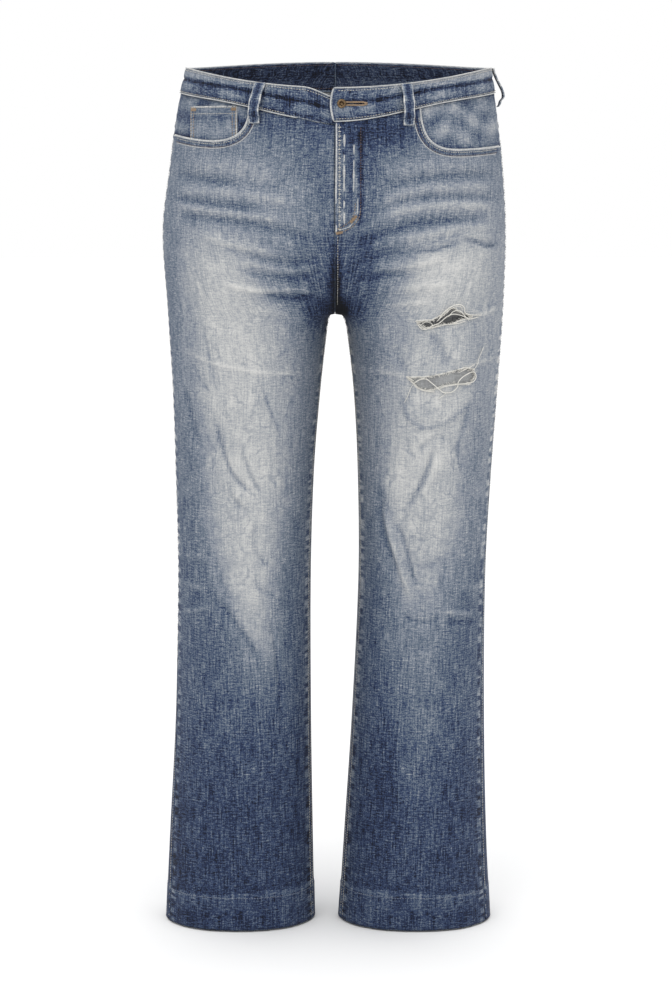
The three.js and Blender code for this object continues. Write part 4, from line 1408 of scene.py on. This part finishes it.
def makeButton():
    z = np.array(buttonPlace["z"])
    angle = angleAt(left, z, buttonPlace["x"])
    away = outward(left, z, angle)
    place = basePoint(left, z, angle) + away * broadHeight(left, z, angle)
    side = np.cross([0, 0, 1], away)
    side = side / np.linalg.norm(side)
    up = np.cross(away, side)
    verts, steps = [], button["steps"]
    for radius, height in button["profile"]:
        for a in np.arange(steps) * 2 * math.pi / steps:
            ring = (side * math.cos(a) + up * math.sin(a)) * radius
            verts.append((place + away * height + ring) / 1000)
    mesh = bpy.data.meshes.new("brass_button")
    mesh.from_pydata(verts, [], bandsOfFaces(0, len(button["profile"]), steps))
    turnOutwards(mesh)
    g = Graph("agedBrass")
    spots = g.noise(g.add("ShaderNodeTexCoord").outputs["Object"], (700, 700, 700), 4, 0.6)
    g.dress({
        "Base Color": g.ramp(g.math("ADD", spots, 0.5), button["brass"]),
        "Roughness": g.between(spots, -0.2, 0.2, 0.5, 0.3), "Metallic": button["metallic"],
    })
    mesh.materials.append(g.material)
    return addObject("brass_button", mesh)


buttonPiece = makeButton()
print("button made")

# rolled edges and loose yarns, as thin tubes
tubeShape = {"tip": 0.35, "taper": 0.6, "weaveStep": 0.0012}


def tubes(name, paths, material, sides=6, tone=0.7, spread=0.0):
    # paths are (points in mm, radius); every tube is closed at both ends
    verts, faces, uvs, tones = [], [], [], []
    for points, radius in paths:
        points = np.asarray(points, float)
        count = len(points)
        tangent = np.gradient(points, axis=0)
        tangent /= np.linalg.norm(tangent, axis=1, keepdims=True) + 1e-9
        side = np.cross(tangent, [0.0, 1.0, 0.13])
        side /= np.linalg.norm(side, axis=1, keepdims=True) + 1e-9
        up = np.cross(tangent, side)
        fromEnd = np.minimum(np.arange(count), np.arange(count)[::-1])
        radii = radius * np.clip(fromEnd * tubeShape["taper"] + tubeShape["tip"], 0, 1)
        length = runAlong(points)
        shade = tone + spread * rng.uniform(-1, 1)
        faces += bandsOfFaces(len(verts), count, sides)
        for i in range(count):
            for k in range(sides):
                a = 2 * math.pi * k / sides
                ring = (side[i] * math.cos(a) + up[i] * math.sin(a)) * radii[i]
                verts.append((points[i] + ring) / 1000)
                uvs.append((k * tubeShape["weaveStep"], length[i] / 1000))
                tones.append(shade)
    mesh = bpy.data.meshes.new(name)
    mesh.from_pydata(verts, [], faces)
    layer = mesh.uv_layers.new(name="weave")
    corners = np.concatenate([np.array(f) for f in faces])
    layer.data.foreach_set("uv", np.array(uvs, np.float32)[corners].ravel())
    far = np.full(len(verts), farOff)
    addMarks(mesh, {"fade": tones, "seam": far, "edge": far, "inside": np.zeros(len(verts))})
    turnOutwards(mesh)
    mesh.materials.append(material)
    return addObject(name, mesh)


def onCloth(half, line, out):
    # points of a line of x, z and perhaps how far it stands out, on the front's outer face
    line = np.asarray(line, float)
    extra = line[:, 2] if line.shape[1] > 2 else 0.0
    return onLine(half, front, line, out + extra)[0]


def evenly(line, step):
    line = np.asarray(line, float)
    run = runAlong(line)
    at = np.linspace(0, run[-1], max(2, int(run[-1] / step) + 1))
    return np.stack([np.interp(at, run, line[:, k]) for k in range(line.shape[1])], -1)


def bandLine(half, down, first, out):
    across = np.linspace(first, 1.0, 220)
    angle, z, sink, x = bandPlace(half, across, np.full_like(across, down))
    return clothPoint(half, z, angle, out - sink)


def offsetLine(line, gap):
    # a line beside another one, on its lower or outer side
    line = np.asarray(line, float)
    run = np.gradient(line, axis=0)
    run /= np.linalg.norm(run, axis=1, keepdims=True)
    return line + np.stack([run[:, 1], -run[:, 0]], -1) * gap


def belowMouth(half, gap):
    # a line this far below the edge of a pocket mouth
    line = mouthLine(half)
    width = float(section(half, mouth["height"])[1])
    line = line[line[:, 0] < width - 4]
    row = offsetLine(line, gap)
    if row[len(row) // 2, 1] > line[len(line) // 2, 1]:
        row = offsetLine(line, -gap)
    return row[(row[:, 1] < -60) & (row[:, 0] < width - 3)]


edges = {
    "mouthRadius": 1.3, "ringRadius": 0.6, "ringGap": 8.6, "bandRadius": 0.75, "tabRadius": 1.0,
    "flyRadius": 1.25, "tone": 0.77, "lapStart": 0.19,
    "flyFold": [(1.9, -69), (1.9, -110), (1.4, -150), (1.6, -202)],
    "ribs": [  # pale ribs that come and go along the fly: points, out, radius, beat
        ([(11.5, -82), (11.0, -140), (11.5, -192)], 0.75, 2.1, 2.1),
        ([(23.0, -94), (22.5, -152)], 1.1, 1.5, 1.7),
        ([(27.7, -158), (27.4, -180), (18, -193), (4, -198)], 0.9, 1.1, 2.9),
    ],
}
edgePaths = []
for half in (right, left):
    ring = onCloth(half, belowMouth(half, edges["ringGap"]), 0.1)
    edgePaths.append((evenly(ring, 2.0), edges["ringRadius"]))
    line = mouthLine(half)
    line = line[(line[:, 0] < float(section(half, mouth["height"])[1]) - 2.0) & (line[:, 1] < -47)]
    edgePaths.append((evenly(onCloth(half, line, 0.35), 2.0), edges["mouthRadius"]))
    for down, first in ((1.0, 0.0 if half == left else edges["lapStart"]), (0.0, 0.0)):
        rim = bandLine(half, down, first, band["out"] + 0.1)
        edgePaths.append((evenly(rim, 2.5), edges["bandRadius"]))
angle, z, sink, x = bandPlace(left, np.zeros(30), np.linspace(0.02, 0.98, 30))
tabEdge = clothPoint(left, z, angle, band["out"] + 0.3)
edgePaths.append((evenly(tabEdge, 1.5), edges["tabRadius"]))
edgePaths.append((evenly(onCloth(left, edges["flyFold"], 1.2), 2.5), edges["flyRadius"]))
for points, out, radius, beat in edges["ribs"]:
    path = evenly(onCloth(left, points, out), 2.0)
    steps = np.arange(len(path))
    swell = 0.66 + 0.34 * np.sin(steps / beat) * np.sin(steps / beat / 2.3)
    edgePaths.append((path, radius * swell))
edgePiece = tubes("worn_edges", edgePaths, wornEdge, 6, edges["tone"])
print("edges made")

# sewing: each line of stitches follows the cloth
sewing = {
    "unevenness": 0.12, "seed": 3,
    # pitch, length and radius of the stitches, and whether they lie across their line
    "cream": (3.4, 2.5, 0.36, False), "tan": (3.4, 2.5, 0.46, False),
    "brown": (3.4, 2.5, 0.45, False), "hem": (3.4, 2.5, 0.3, False),
    "dashes": (5.2, 3.8, 0.42, True), "tacks": (0.62, 4.0, 0.34, True),
    "eyelet": (0.7, 2.4, 0.42, True),
}


def stitchTree(name):
    tree = bpy.data.node_groups.new(name, "GeometryNodeTree")
    for label, kind in (
        ("Geometry", "Geometry"), ("Pitch", "Float"), ("Stitch length", "Float"),
        ("Thread radius", "Float"), ("Unevenness", "Float"), ("Lie across", "Bool"),
        ("Seed", "Int"), ("Thread", "Material"),
    ):
        tree.interface.new_socket(label, in_out="INPUT", socket_type="NodeSocket" + kind)
    tree.interface.new_socket("Geometry", in_out="OUTPUT", socket_type="NodeSocketGeometry")

    def add(kind, inputs=(), **settings):
        node = tree.nodes.new(kind)
        for key, value in settings.items():
            setattr(node, key, value)
        for key, value in inputs:
            node.inputs[key].default_value = value
        return node

    start, end = add("NodeGroupInput"), add("NodeGroupOutput")
    curve = add("GeometryNodeMeshToCurve")
    even = add("GeometryNodeResampleCurve", mode="LENGTH")
    spots = add("GeometryNodeCurveToPoints", mode="EVALUATED")
    up = add("GeometryNodeInputNamedAttribute", [("Name", "up")], data_type="FLOAT_VECTOR")
    across = add("ShaderNodeVectorMath", operation="CROSS_PRODUCT")
    choose = add("GeometryNodeSwitch", input_type="VECTOR")
    turn = add("FunctionNodeAlignRotationToVector", axis="Z")
    ball = add("GeometryNodeMeshUVSphere", [("Segments", 6), ("Rings", 4), ("Radius", 1.0)])
    halved = add("ShaderNodeMath", [(1, 0.5)], operation="MULTIPLY")
    size = add("ShaderNodeCombineXYZ")
    shape = add("GeometryNodeTransform")
    vary = add("FunctionNodeRandomValue", data_type="FLOAT")
    low = add("ShaderNodeMath", [(0, 1.0)], operation="SUBTRACT")
    high = add("ShaderNodeMath", [(0, 1.0)], operation="ADD")
    place = add("GeometryNodeInstanceOnPoints")
    real = add("GeometryNodeRealizeInstances")
    soft = add("GeometryNodeSetShadeSmooth")
    dress = add("GeometryNodeSetMaterial")
    for a, output, b, socket in (
        (start, "Geometry", curve, "Mesh"), (curve, "Curve", even, "Curve"),
        (start, "Pitch", even, "Length"), (even, "Curve", spots, "Curve"),
        (spots, "Tangent", across, 0), (up, "Attribute", across, 1),
        (start, "Lie across", choose, "Switch"), (spots, "Tangent", choose, "False"),
        (across, 0, choose, "True"), (choose, "Output", turn, "Vector"),
        (start, "Stitch length", halved, 0), (start, "Thread radius", size, 0),
        (start, "Thread radius", size, 1), (halved, 0, size, 2),
        (ball, "Mesh", shape, "Geometry"), (size, 0, shape, "Scale"),
        (start, "Unevenness", low, 1), (start, "Unevenness", high, 1),
        (low, 0, vary, 2), (high, 0, vary, 3), (start, "Seed", vary, "Seed"),
        (spots, "Points", place, "Points"), (shape, "Geometry", place, "Instance"),
        (turn, "Rotation", place, "Rotation"), (vary, 1, place, "Scale"),
        (place, "Instances", real, "Geometry"), (real, "Geometry", soft, "Geometry"),
        (soft, "Geometry", dress, "Geometry"), (start, "Thread", dress, "Material"),
        (dress, "Geometry", end, "Geometry"),
    ):
        tree.links.new(a.outputs[output], b.inputs[socket])
    return tree


rowOfStitches = stitchTree("rowOfStitches")


def sew(name, lines, material, sort):
    # lines are (points, outward directions) in mm; the stitches come out as one plain mesh
    pitch, length, radius, across = sewing[sort]
    verts, pairs, ups = [], [], []
    for points, aways in lines:
        pairs += [(len(verts) + k, len(verts) + k + 1) for k in range(len(points) - 1)]
        verts += [tuple(p / 1000) for p in points]
        ups += [tuple(a) for a in aways]
    mesh = bpy.data.meshes.new(name + "_lines")
    mesh.from_pydata(verts, pairs, [])
    layer = mesh.attributes.new("up", "FLOAT_VECTOR", "POINT")
    layer.data.foreach_set("vector", np.array(ups, np.float32).ravel())
    piece = addObject(name, mesh)
    tool = piece.modifiers.new("stitches", "NODES")
    tool.node_group = rowOfStitches
    values = {
        "Pitch": pitch / 1000, "Stitch length": length / 1000, "Thread radius": radius / 1000,
        "Unevenness": sewing["unevenness"], "Lie across": across, "Seed": sewing["seed"],
        "Thread": material,
    }
    for item in rowOfStitches.interface.items_tree:
        if item.item_type == "SOCKET" and item.in_out == "INPUT" and item.name in values:
            tool[item.identifier] = values[item.name]
    graph = bpy.context.evaluated_depsgraph_get()
    sewn = bpy.data.meshes.new_from_object(piece.evaluated_get(graph), depsgraph=graph)
    piece.modifiers.remove(tool)
    piece.data = sewn
    sewn.name = name
    return piece


def lineOn(half, facing, line, out, step=2.0):
    return onLine(half, facing, evenly(line, step), out)


def seamLine(half, facing, fromInner, gap, z0, z1, out=0.6, wobble=0.35):
    # a line this far from the outer seam, or from the inner one, between two heights
    z = np.linspace(z0, z1, max(4, int(abs(z1 - z0) / 4)))
    centre, width, middle, frontDepth, backDepth = section(half, z)
    depth = frontDepth if facing > 0 else backDepth
    seam = seamToSeam(half, z, facing, np.full_like(z, 1.0 if fromInner else 0.0))
    perMm = 1 / np.hypot(width * np.sin(seam), depth * np.cos(seam))
    away = gap + wobble * np.sin(z / 6.5)
    angle = seam + (-facing if fromInner else facing) * away * perMm
    return clothPoint(half, z, angle, out), outward(half, z, angle)


def yokeLine(half, first, last, above, out):
    # a line this far above the lower edge of the yoke
    rough = np.linspace(first, last, 120)
    z = yokeBottom(rough) + above
    angle = seamToSeam(half, z, back, -rough / (math.pi / 2))
    return clothPoint(half, z, angle, out), outward(half, z, angle)


def bandStitch(half, down, first, last, inner=False):
    across = np.linspace(first, last, 160)
    angle, z, sink, x = bandPlace(half, across, np.full_like(across, down))
    away = outward(half, z, angle)
    out = band["out"] - band["thickness"] - 0.25 if inner else band["out"] + 0.95
    return clothPoint(half, z, angle, out - sink), away * (-1 if inner else 1)


cream, tan, brown, hemRows = [], [], [], []
hipTop, crotchLow, footTop = -90, -312, -1086  # where the long seams' sewing starts and ends
for half in (right, left):
    cream.append(lineOn(half, front, belowMouth(half, 3.2), 1.05))
    brown.append(lineOn(half, front, belowMouth(half, 7.2), 0.9))
    cream.append(bandStitch(half, 0.93, 0.02 if half == left else 0.22, 0.99))
    cream.append(bandStitch(half, 0.09, 0.03 if half == left else 0.10, 0.99))
    brown += [bandStitch(half, down, 0.30, 0.995, True) for down in (0.10, 0.90)]
    # inseams and the long outer seams below the hip
    cream += [seamLine(half, facing, True, 3.4, crotchLow, footTop) for facing in (front, back)]
    cream.append(seamLine(half, back, False, 3.0, hipTop, footTop))
    # yoke and middle of the back
    cream += [yokeLine(half, -0.06, -1.52, gap, 0.9) for gap in (2.6, 8.4)]
    if half == left:
        cream += [seamLine(half, back, True, gap, -116, -300, 0.6, 0.1) for gap in (2.8, 8.6)]
    pocket = np.array(pockets["back"] + pockets["back"][:1], float)
    middle = pocket[:-1].mean(axis=0)
    for inset, rows in ((3.0, cream), (8.0, tan)):
        inner = middle + (pocket - middle) * (1 - inset / 68)
        rows.append(lineOn(half, back, inner[1:5], 2.0))
    cream.append(lineOn(half, back, [(42.0, -128.0), (164, -128)], 2.1))
    # hem
    z = np.full(150, -1049.5)
    angle = wrapped(along(form["outerSeam"], half + 1, z) + np.linspace(0, 2 * math.pi, 150))
    hemRows.append((clothPoint(half, z, angle, 0.85), outward(half, z, angle)))

# the front's centre seam below the fly, the fly's curved rows and the coin pocket
cream.append(lineOn(left, front, [(3.4, -206.0), (3.6, -290)], 0.9))
flyCurve = bezier([(31, -170), (31, -190), (18, -197), (3, -201)], 14)
flyInner = bezier([(24.5, -168), (24, -186), (14, -191), (4, -195)], 14)
brown.append(lineOn(left, front, [(31.0, -76.0), (31.0, -168.0)], 1.9))
tan.append(lineOn(left, front, np.concatenate([[(31.0, -168.0)], flyCurve]), 1.9))
tan.append(lineOn(left, front, np.concatenate([[(24.5, -166.0)], flyInner]), 2.0))
cream.append(lineOn(left, front, [(5.2, -72.0), (5.2, -196)], 2.1))
coinOut = coin["out"] + 0.55
for x in (coin["inner"] + 1.6, coin["inner"] + 5.6, coin["outer"] - 1.6, coin["outer"] - 5.0):
    tan.append(lineOn(right, front, [(x, coin["top"] - 2), (x, -88.0)], coinOut))
for z in (coin["top"] - 2.2, coin["top"] - 9.6):
    cream.append(lineOn(right, front, [(coin["inner"] + 2, z), (coin["outer"] - 2, z)], coinOut))

# the seam allowances, rolled inside along every seam, which close the gaps between the pieces
innerSeams = {
    "out": -2.1, "radius": 1.15, "middleRadius": 1.7, "bandOut": -1.7, "bandRadius": 0.9,
    "beside": -0.25, "tone": 0.42,
}
innerPaths = []
for half in (right, left):
    for fromInner, top in ((True, form["crotch"] - 3), (False, -70)):
        points = seamLine(
            half, front, fromInner, innerSeams["beside"], top, hem["top"], innerSeams["out"], 0.0
        )[0]
        innerPaths.append((evenly(points, 4.0), innerSeams["radius"]))
    underYoke = yokeLine(half, -0.03, -1.55, -form["seamGap"] / 2, innerSeams["out"])[0]
    innerPaths.append((underYoke, innerSeams["radius"]))
    points = bandLine(half, 1.0, 0.0, innerSeams["bandOut"])
    innerPaths.append((evenly(points, 3.0), innerSeams["bandRadius"]))
for facing, top in ((back, -36), (front, -205)):
    points = seamLine(
        left, facing, True, innerSeams["beside"], top, form["crotch"] - 1, innerSeams["out"], 0.0
    )[0]
    points[:, 0] = 0
    innerPaths.append((evenly(points, 3.0), innerSeams["middleRadius"]))
angle, z, sink, x = bandPlace(left, np.ones(12), np.linspace(0.03, 0.97, 12))
points = clothPoint(left, z, angle, band["out"] - band["thickness"] - 0.6)
innerPaths.append((points, innerSeams["bandRadius"]))
innerSeamPiece = tubes("inner_seams", innerPaths, denimInner, 6, innerSeams["tone"])

rowsCream = sew("stitches_cream", cream, creamThread, "cream")
rowsTan = sew("stitches_tan", tan, tanThread, "tan")
rowsBrown = sew("stitches_brown", brown, brownThread, "brown")
hemSewing = sew("hem_stitches", hemRows, hemThread, "hem")
ladder = [lineOn(left, front, [(5.6, -74.0), (5.6, -196)], 2.0)]
dashes = sew("fly_dashes", ladder, whiteYarn, "dashes")

# bar tacks, as short lines on the cloth: half, side, from x and z, to x and z, how far out
tackPlaces = [
    (left, front, 19, -188, 26, -180, 2.2), (left, front, 1.5, -201, 9, -199.5, 2.1),
]
for x in (coin["inner"] + 4, coin["outer"] - 5):
    z = coin["top"] - 4.5
    tackPlaces.append((right, front, x - 3, z, x + 3, z, coin["out"] + 0.7))
tackPlaces += [
    (half, back, x - 2, -118.5, x + 2, -118.5, 2.2) for half in (right, left) for x in (42, 164)
]
tacks = [
    lineOn(half, facing, [(x0, z0), (x1, z1)], out, 1.0)
    for half, facing, x0, z0, x1, z1, out in tackPlaces
]
tackPiece = sew("bar_tacks", tacks, tanThread, "tacks")


def keyholeLine():
    # round the eye of the buttonhole and along both sides of its slot
    x, z, end = buttonPlace["x"], buttonPlace["z"], buttonPlace["slotEnd"]
    radius = buttonPlace["eye"] + 1.0
    turn = np.linspace(0.42, 2 * math.pi - 0.42, 40)
    eye = np.stack([x + radius * np.cos(turn), z + radius * np.sin(turn)], -1)
    top = [(end + 1.5, z + 0.6), (end - 4, z + 1.9)]
    low = [(end - 4, z - 1.9), (end + 1.5, z - 0.6)]
    return evenly(np.concatenate([top, eye, low]), 1.0)


def bandSpot(half, x, z):
    # a place on the front of the waistband and how far its puffed face stands out
    angle = angleAt(half, z, x)
    top, low = bandTop(angle), bandBottom(angle)
    down = np.clip((top - z) / (top - low), 0, 1)
    middle = band["creaseShare"]
    lower = band["lowerPuff"] * np.sin(math.pi * (down - middle) / (1 - middle))
    puff = np.where(down < middle, np.sin(math.pi * down / middle), lower)
    return angle, band["out"] + band["puff"] * (np.clip(puff, 0, 1) ** 0.8 - 0.3)


keyhole = keyholeLine()
angle, out = bandSpot(left, keyhole[:, 0], keyhole[:, 1])
eyeletRow = clothPoint(left, keyhole[:, 1], angle, out + 0.35), outward(left, keyhole[:, 1], angle)
eyelet = sew("buttonhole_stitches", [eyeletRow], tanThread, "eyelet")
print("stitches made")

# loose yarns at the tears and the raw edge of the hems
looseLines = [  # distance from the middle, height, how far it stands out; then radius
    ([(101, -312, 1), (106, -318, 1), (113, -318, 1), (119, -314, 1.5), (127, -311, 1.5),
      (136, -303, 2), (143, -300, 2.5), (150, -301, 2), (158, -304, 1.5), (164, -307, 1),
      (176, -305, 0.6)], 0.6),
    ([(126, -308, 1), (132, -298, 2), (141, -290, 4), (150, -288, 4), (156, -292, 3),
      (158, -299, 2), (166, -302, 1), (180, -303, 0.5)], 0.6),
    ([(124, -309, 1.5), (133, -300, 2.5), (142, -292, 3.2), (151, -290.5, 3.5),
      (155, -296, 2)], 0.45),
    ([(138, -303, 2), (143, -297, 2.6), (150, -295.5, 3), (156, -301, 2), (163, -309, 1)], 0.55),
    ([(104, -314, 1.2), (112, -309, 1.5), (119, -313, 1), (112, -318, 0.8), (103, -315, 1)], 0.4),
    ([(113, -316, 1), (122, -316, 1), (135, -313, 1), (148, -312, 1), (160, -309, 1)], 0.5),
    ([(91, -381, 1), (97, -385, 2), (104, -392, 1.5), (112, -395, 1.5), (123, -396, 1)], 0.55),
    ([(97, -386, 2), (104, -381, 2), (112, -380, 1.5), (119, -385, 1.5), (127, -392, 2),
      (134, -397, 1.5), (143, -396, 1.5), (149, -390, 2), (150, -384, 2), (155, -378, 2),
      (165, -373, 1.5), (171, -374, 1), (172.5, -380, 1), (168, -385, 1.5), (160, -386, 1.5),
      (149, -387, 1.5), (136, -389, 1.5), (128, -392, 1)], 0.6),
    ([(97, -386, 1.5), (93, -393, 1.5), (90, -402, 1.2), (86, -410, 0.8)], 0.35),
    ([(138, -396, 1.5), (132, -401, 1.2), (127, -405, 0.8)], 0.35),
    ([(166, -372, 1), (172, -366, 1.5), (176, -355, 1.8), (183, -342, 1.2)], 0.38),
    ([(150, -373, 0.8), (158, -369, 1.2), (170, -363, 1)], 0.4),
    ([(88, -377, 1), (93, -380, 1.5), (98, -383, 1)], 0.6),
]
fray = {
    "spacing": 1.15, "short": 0.6, "long": 3.0, "radius": (0.2, 0.34), "yarnOut": 0.5,
    "hemCount": 420, "hemRadius": 0.2, "hemTone": 0.55, "hemSpread": 0.2,
}
yarnPaths = [
    (onCloth(left, curveThrough(points, 7), fray["yarnOut"]), radius)
    for points, radius in looseLines
]
# short frayed ends round both tears
for outline in (upperTear, lowerTear):
    ring = evenly([*outline, outline[0]], fray["spacing"])
    centre = ring.mean(axis=0)
    for spot in ring:
        inward = (centre - spot) / (np.linalg.norm(centre - spot) + 1e-6)
        reach = rng.uniform(fray["short"], fray["long"])
        bend = rng.uniform(-2.0, 2.0)
        side = np.array([-inward[1], inward[0]])
        start = spot - inward * rng.uniform(0.6, 2.2)
        tip = spot + inward * reach + side * bend
        mid = (start + tip) / 2 + side * bend * 0.4
        line = [(*start, 0.2), (*mid, rng.uniform(0.3, 1.1)), (*tip, rng.uniform(-0.8, 1.0))]
        path = onCloth(left, curveThrough(line, 3), 0.3)
        yarnPaths.append((path, rng.uniform(*fray["radius"])))
yarnPiece = tubes("loose_yarns", yarnPaths, whiteYarn, 5)

frayPaths = []
for half in (right, left):
    for turn in np.linspace(0, 2 * math.pi, fray["hemCount"], endpoint=False):
        a = wrapped(turn + rng.uniform(-0.006, 0.006))
        reach = rng.uniform(0.3, 1.6)
        z = form["hem"] + np.array([1.0, -reach * 0.5, -reach])
        angle = a + np.array([0, rng.uniform(-0.006, 0.006), rng.uniform(-0.012, 0.012)])
        out = np.array([0.2, 0.3, rng.uniform(-0.6, 0.9)])
        frayPaths.append((clothPoint(half, z, angle, out), fray["hemRadius"]))
frayPiece = tubes("hem_fray", frayPaths, wornEdge, 3, fray["hemTone"], fray["hemSpread"])
print("yarns made")

# each cloth piece is parented to the root body, and the part of the same name from model.glb is
# hidden
pieces = {f"{word}_{sideWord[half]}": piece for (word, half), piece in panels.items()}
for word, group in (
    ("yoke", yokePieces), ("waistband", bandPieces), ("pocket_facing", facings),
    ("back_pocket", backPockets), ("hem", hems),
):
    pieces.update({f"{word}_{sideWord[half]}": piece for half, piece in group.items()})
pieces.update({f"loop_{name}": piece for name, piece in loopPieces.items()})
pieces.update({"coin_pocket": coinPiece, "tear_patch": patchPiece, "fly_shield": shield})
for node, piece in pieces.items():
    pocket = node.startswith("back_pocket")
    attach(piece, "root")
    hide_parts(node)
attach(buttonPiece, "root")
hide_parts("button")
for piece in (
    edgePiece, innerSeamPiece, rowsCream, rowsTan, rowsBrown, hemSewing, dashes, tackPiece,
    eyelet, yarnPiece, frayPiece,
):
    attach(piece, "root")

# camera, floor and lights, in metres
view = {
    "place": (0.00127, -3.2, -0.1), "pitch": 8.0, "lens": 90.2, "sensor": 36, "clipEnd": 100,
}
studio = {
    "sky": 1.0, "ceiling": 1.75, "ceilingAngle": 1.6, "floorHeight": -1.0945,
    "paper": [(0.0, (252, 252, 252)), (1.0, (254, 254, 254))], "paperRoughness": 0.9,
    "lamps": {  # place, aim, size, power
        "key": ((-1.2, -2.6, 1.6), (0, 0, -0.5), (1.6, 1.6), 26.0),
        "fill": ((1.6, -2.0, 0.4), (0, 0, -0.6), (1.4, 2.0), 8.0),
    },
}
scene = bpy.context.scene

camera = addObject("camera", bpy.data.cameras.new("camera"))
camera.location = view["place"]
camera.rotation_euler = (math.radians(90 - view["pitch"]), 0, 0)
camera.data.lens = view["lens"]
camera.data.sensor_width = view["sensor"]
camera.data.clip_end = view["clipEnd"]
scene.camera = camera

world = bpy.data.worlds.new("studio")
world.use_nodes = True
sky = world.node_tree.nodes["Background"].inputs
sky["Color"].default_value = (1, 1, 1, 1)
sky["Strength"].default_value = studio["sky"]
scene.world = world

for name, (place, aim, size, power) in studio["lamps"].items():
    lamp = bpy.data.lights.new(name, "AREA")
    lamp.shape = "RECTANGLE"
    lamp.size, lamp.size_y = size
    lamp.energy = power
    item = addObject(name, lamp)
    item.location = place
    item.rotation_euler = (Vector(aim) - Vector(place)).to_track_quat("-Z", "Y").to_euler()
sun = bpy.data.lights.new("ceiling", "SUN")
sun.energy, sun.angle = studio["ceiling"], studio["ceilingAngle"]
addObject("ceiling", sun)

floorMesh = bpy.data.meshes.new("floor")
h = studio["floorHeight"]
floorMesh.from_pydata([(-12, -6, h), (12, -6, h), (12, 20, h), (-12, 20, h)], [], [(0, 1, 2, 3)])
floor = addObject("floor", floorMesh)
paper = Graph("whitePaper")
paperTone = paper.noise(paper.add("ShaderNodeTexCoord").outputs["Object"], (3, 3, 3), 2)
paper.dress({
    "Base Color": paper.ramp(paper.math("ADD", paperTone, 0.5), studio["paper"]),
    "Roughness": studio["paperRoughness"],
})
floorMesh.materials.append(paper.material)
scene.view_settings.view_transform = "Standard"
print("camera and lights placed")
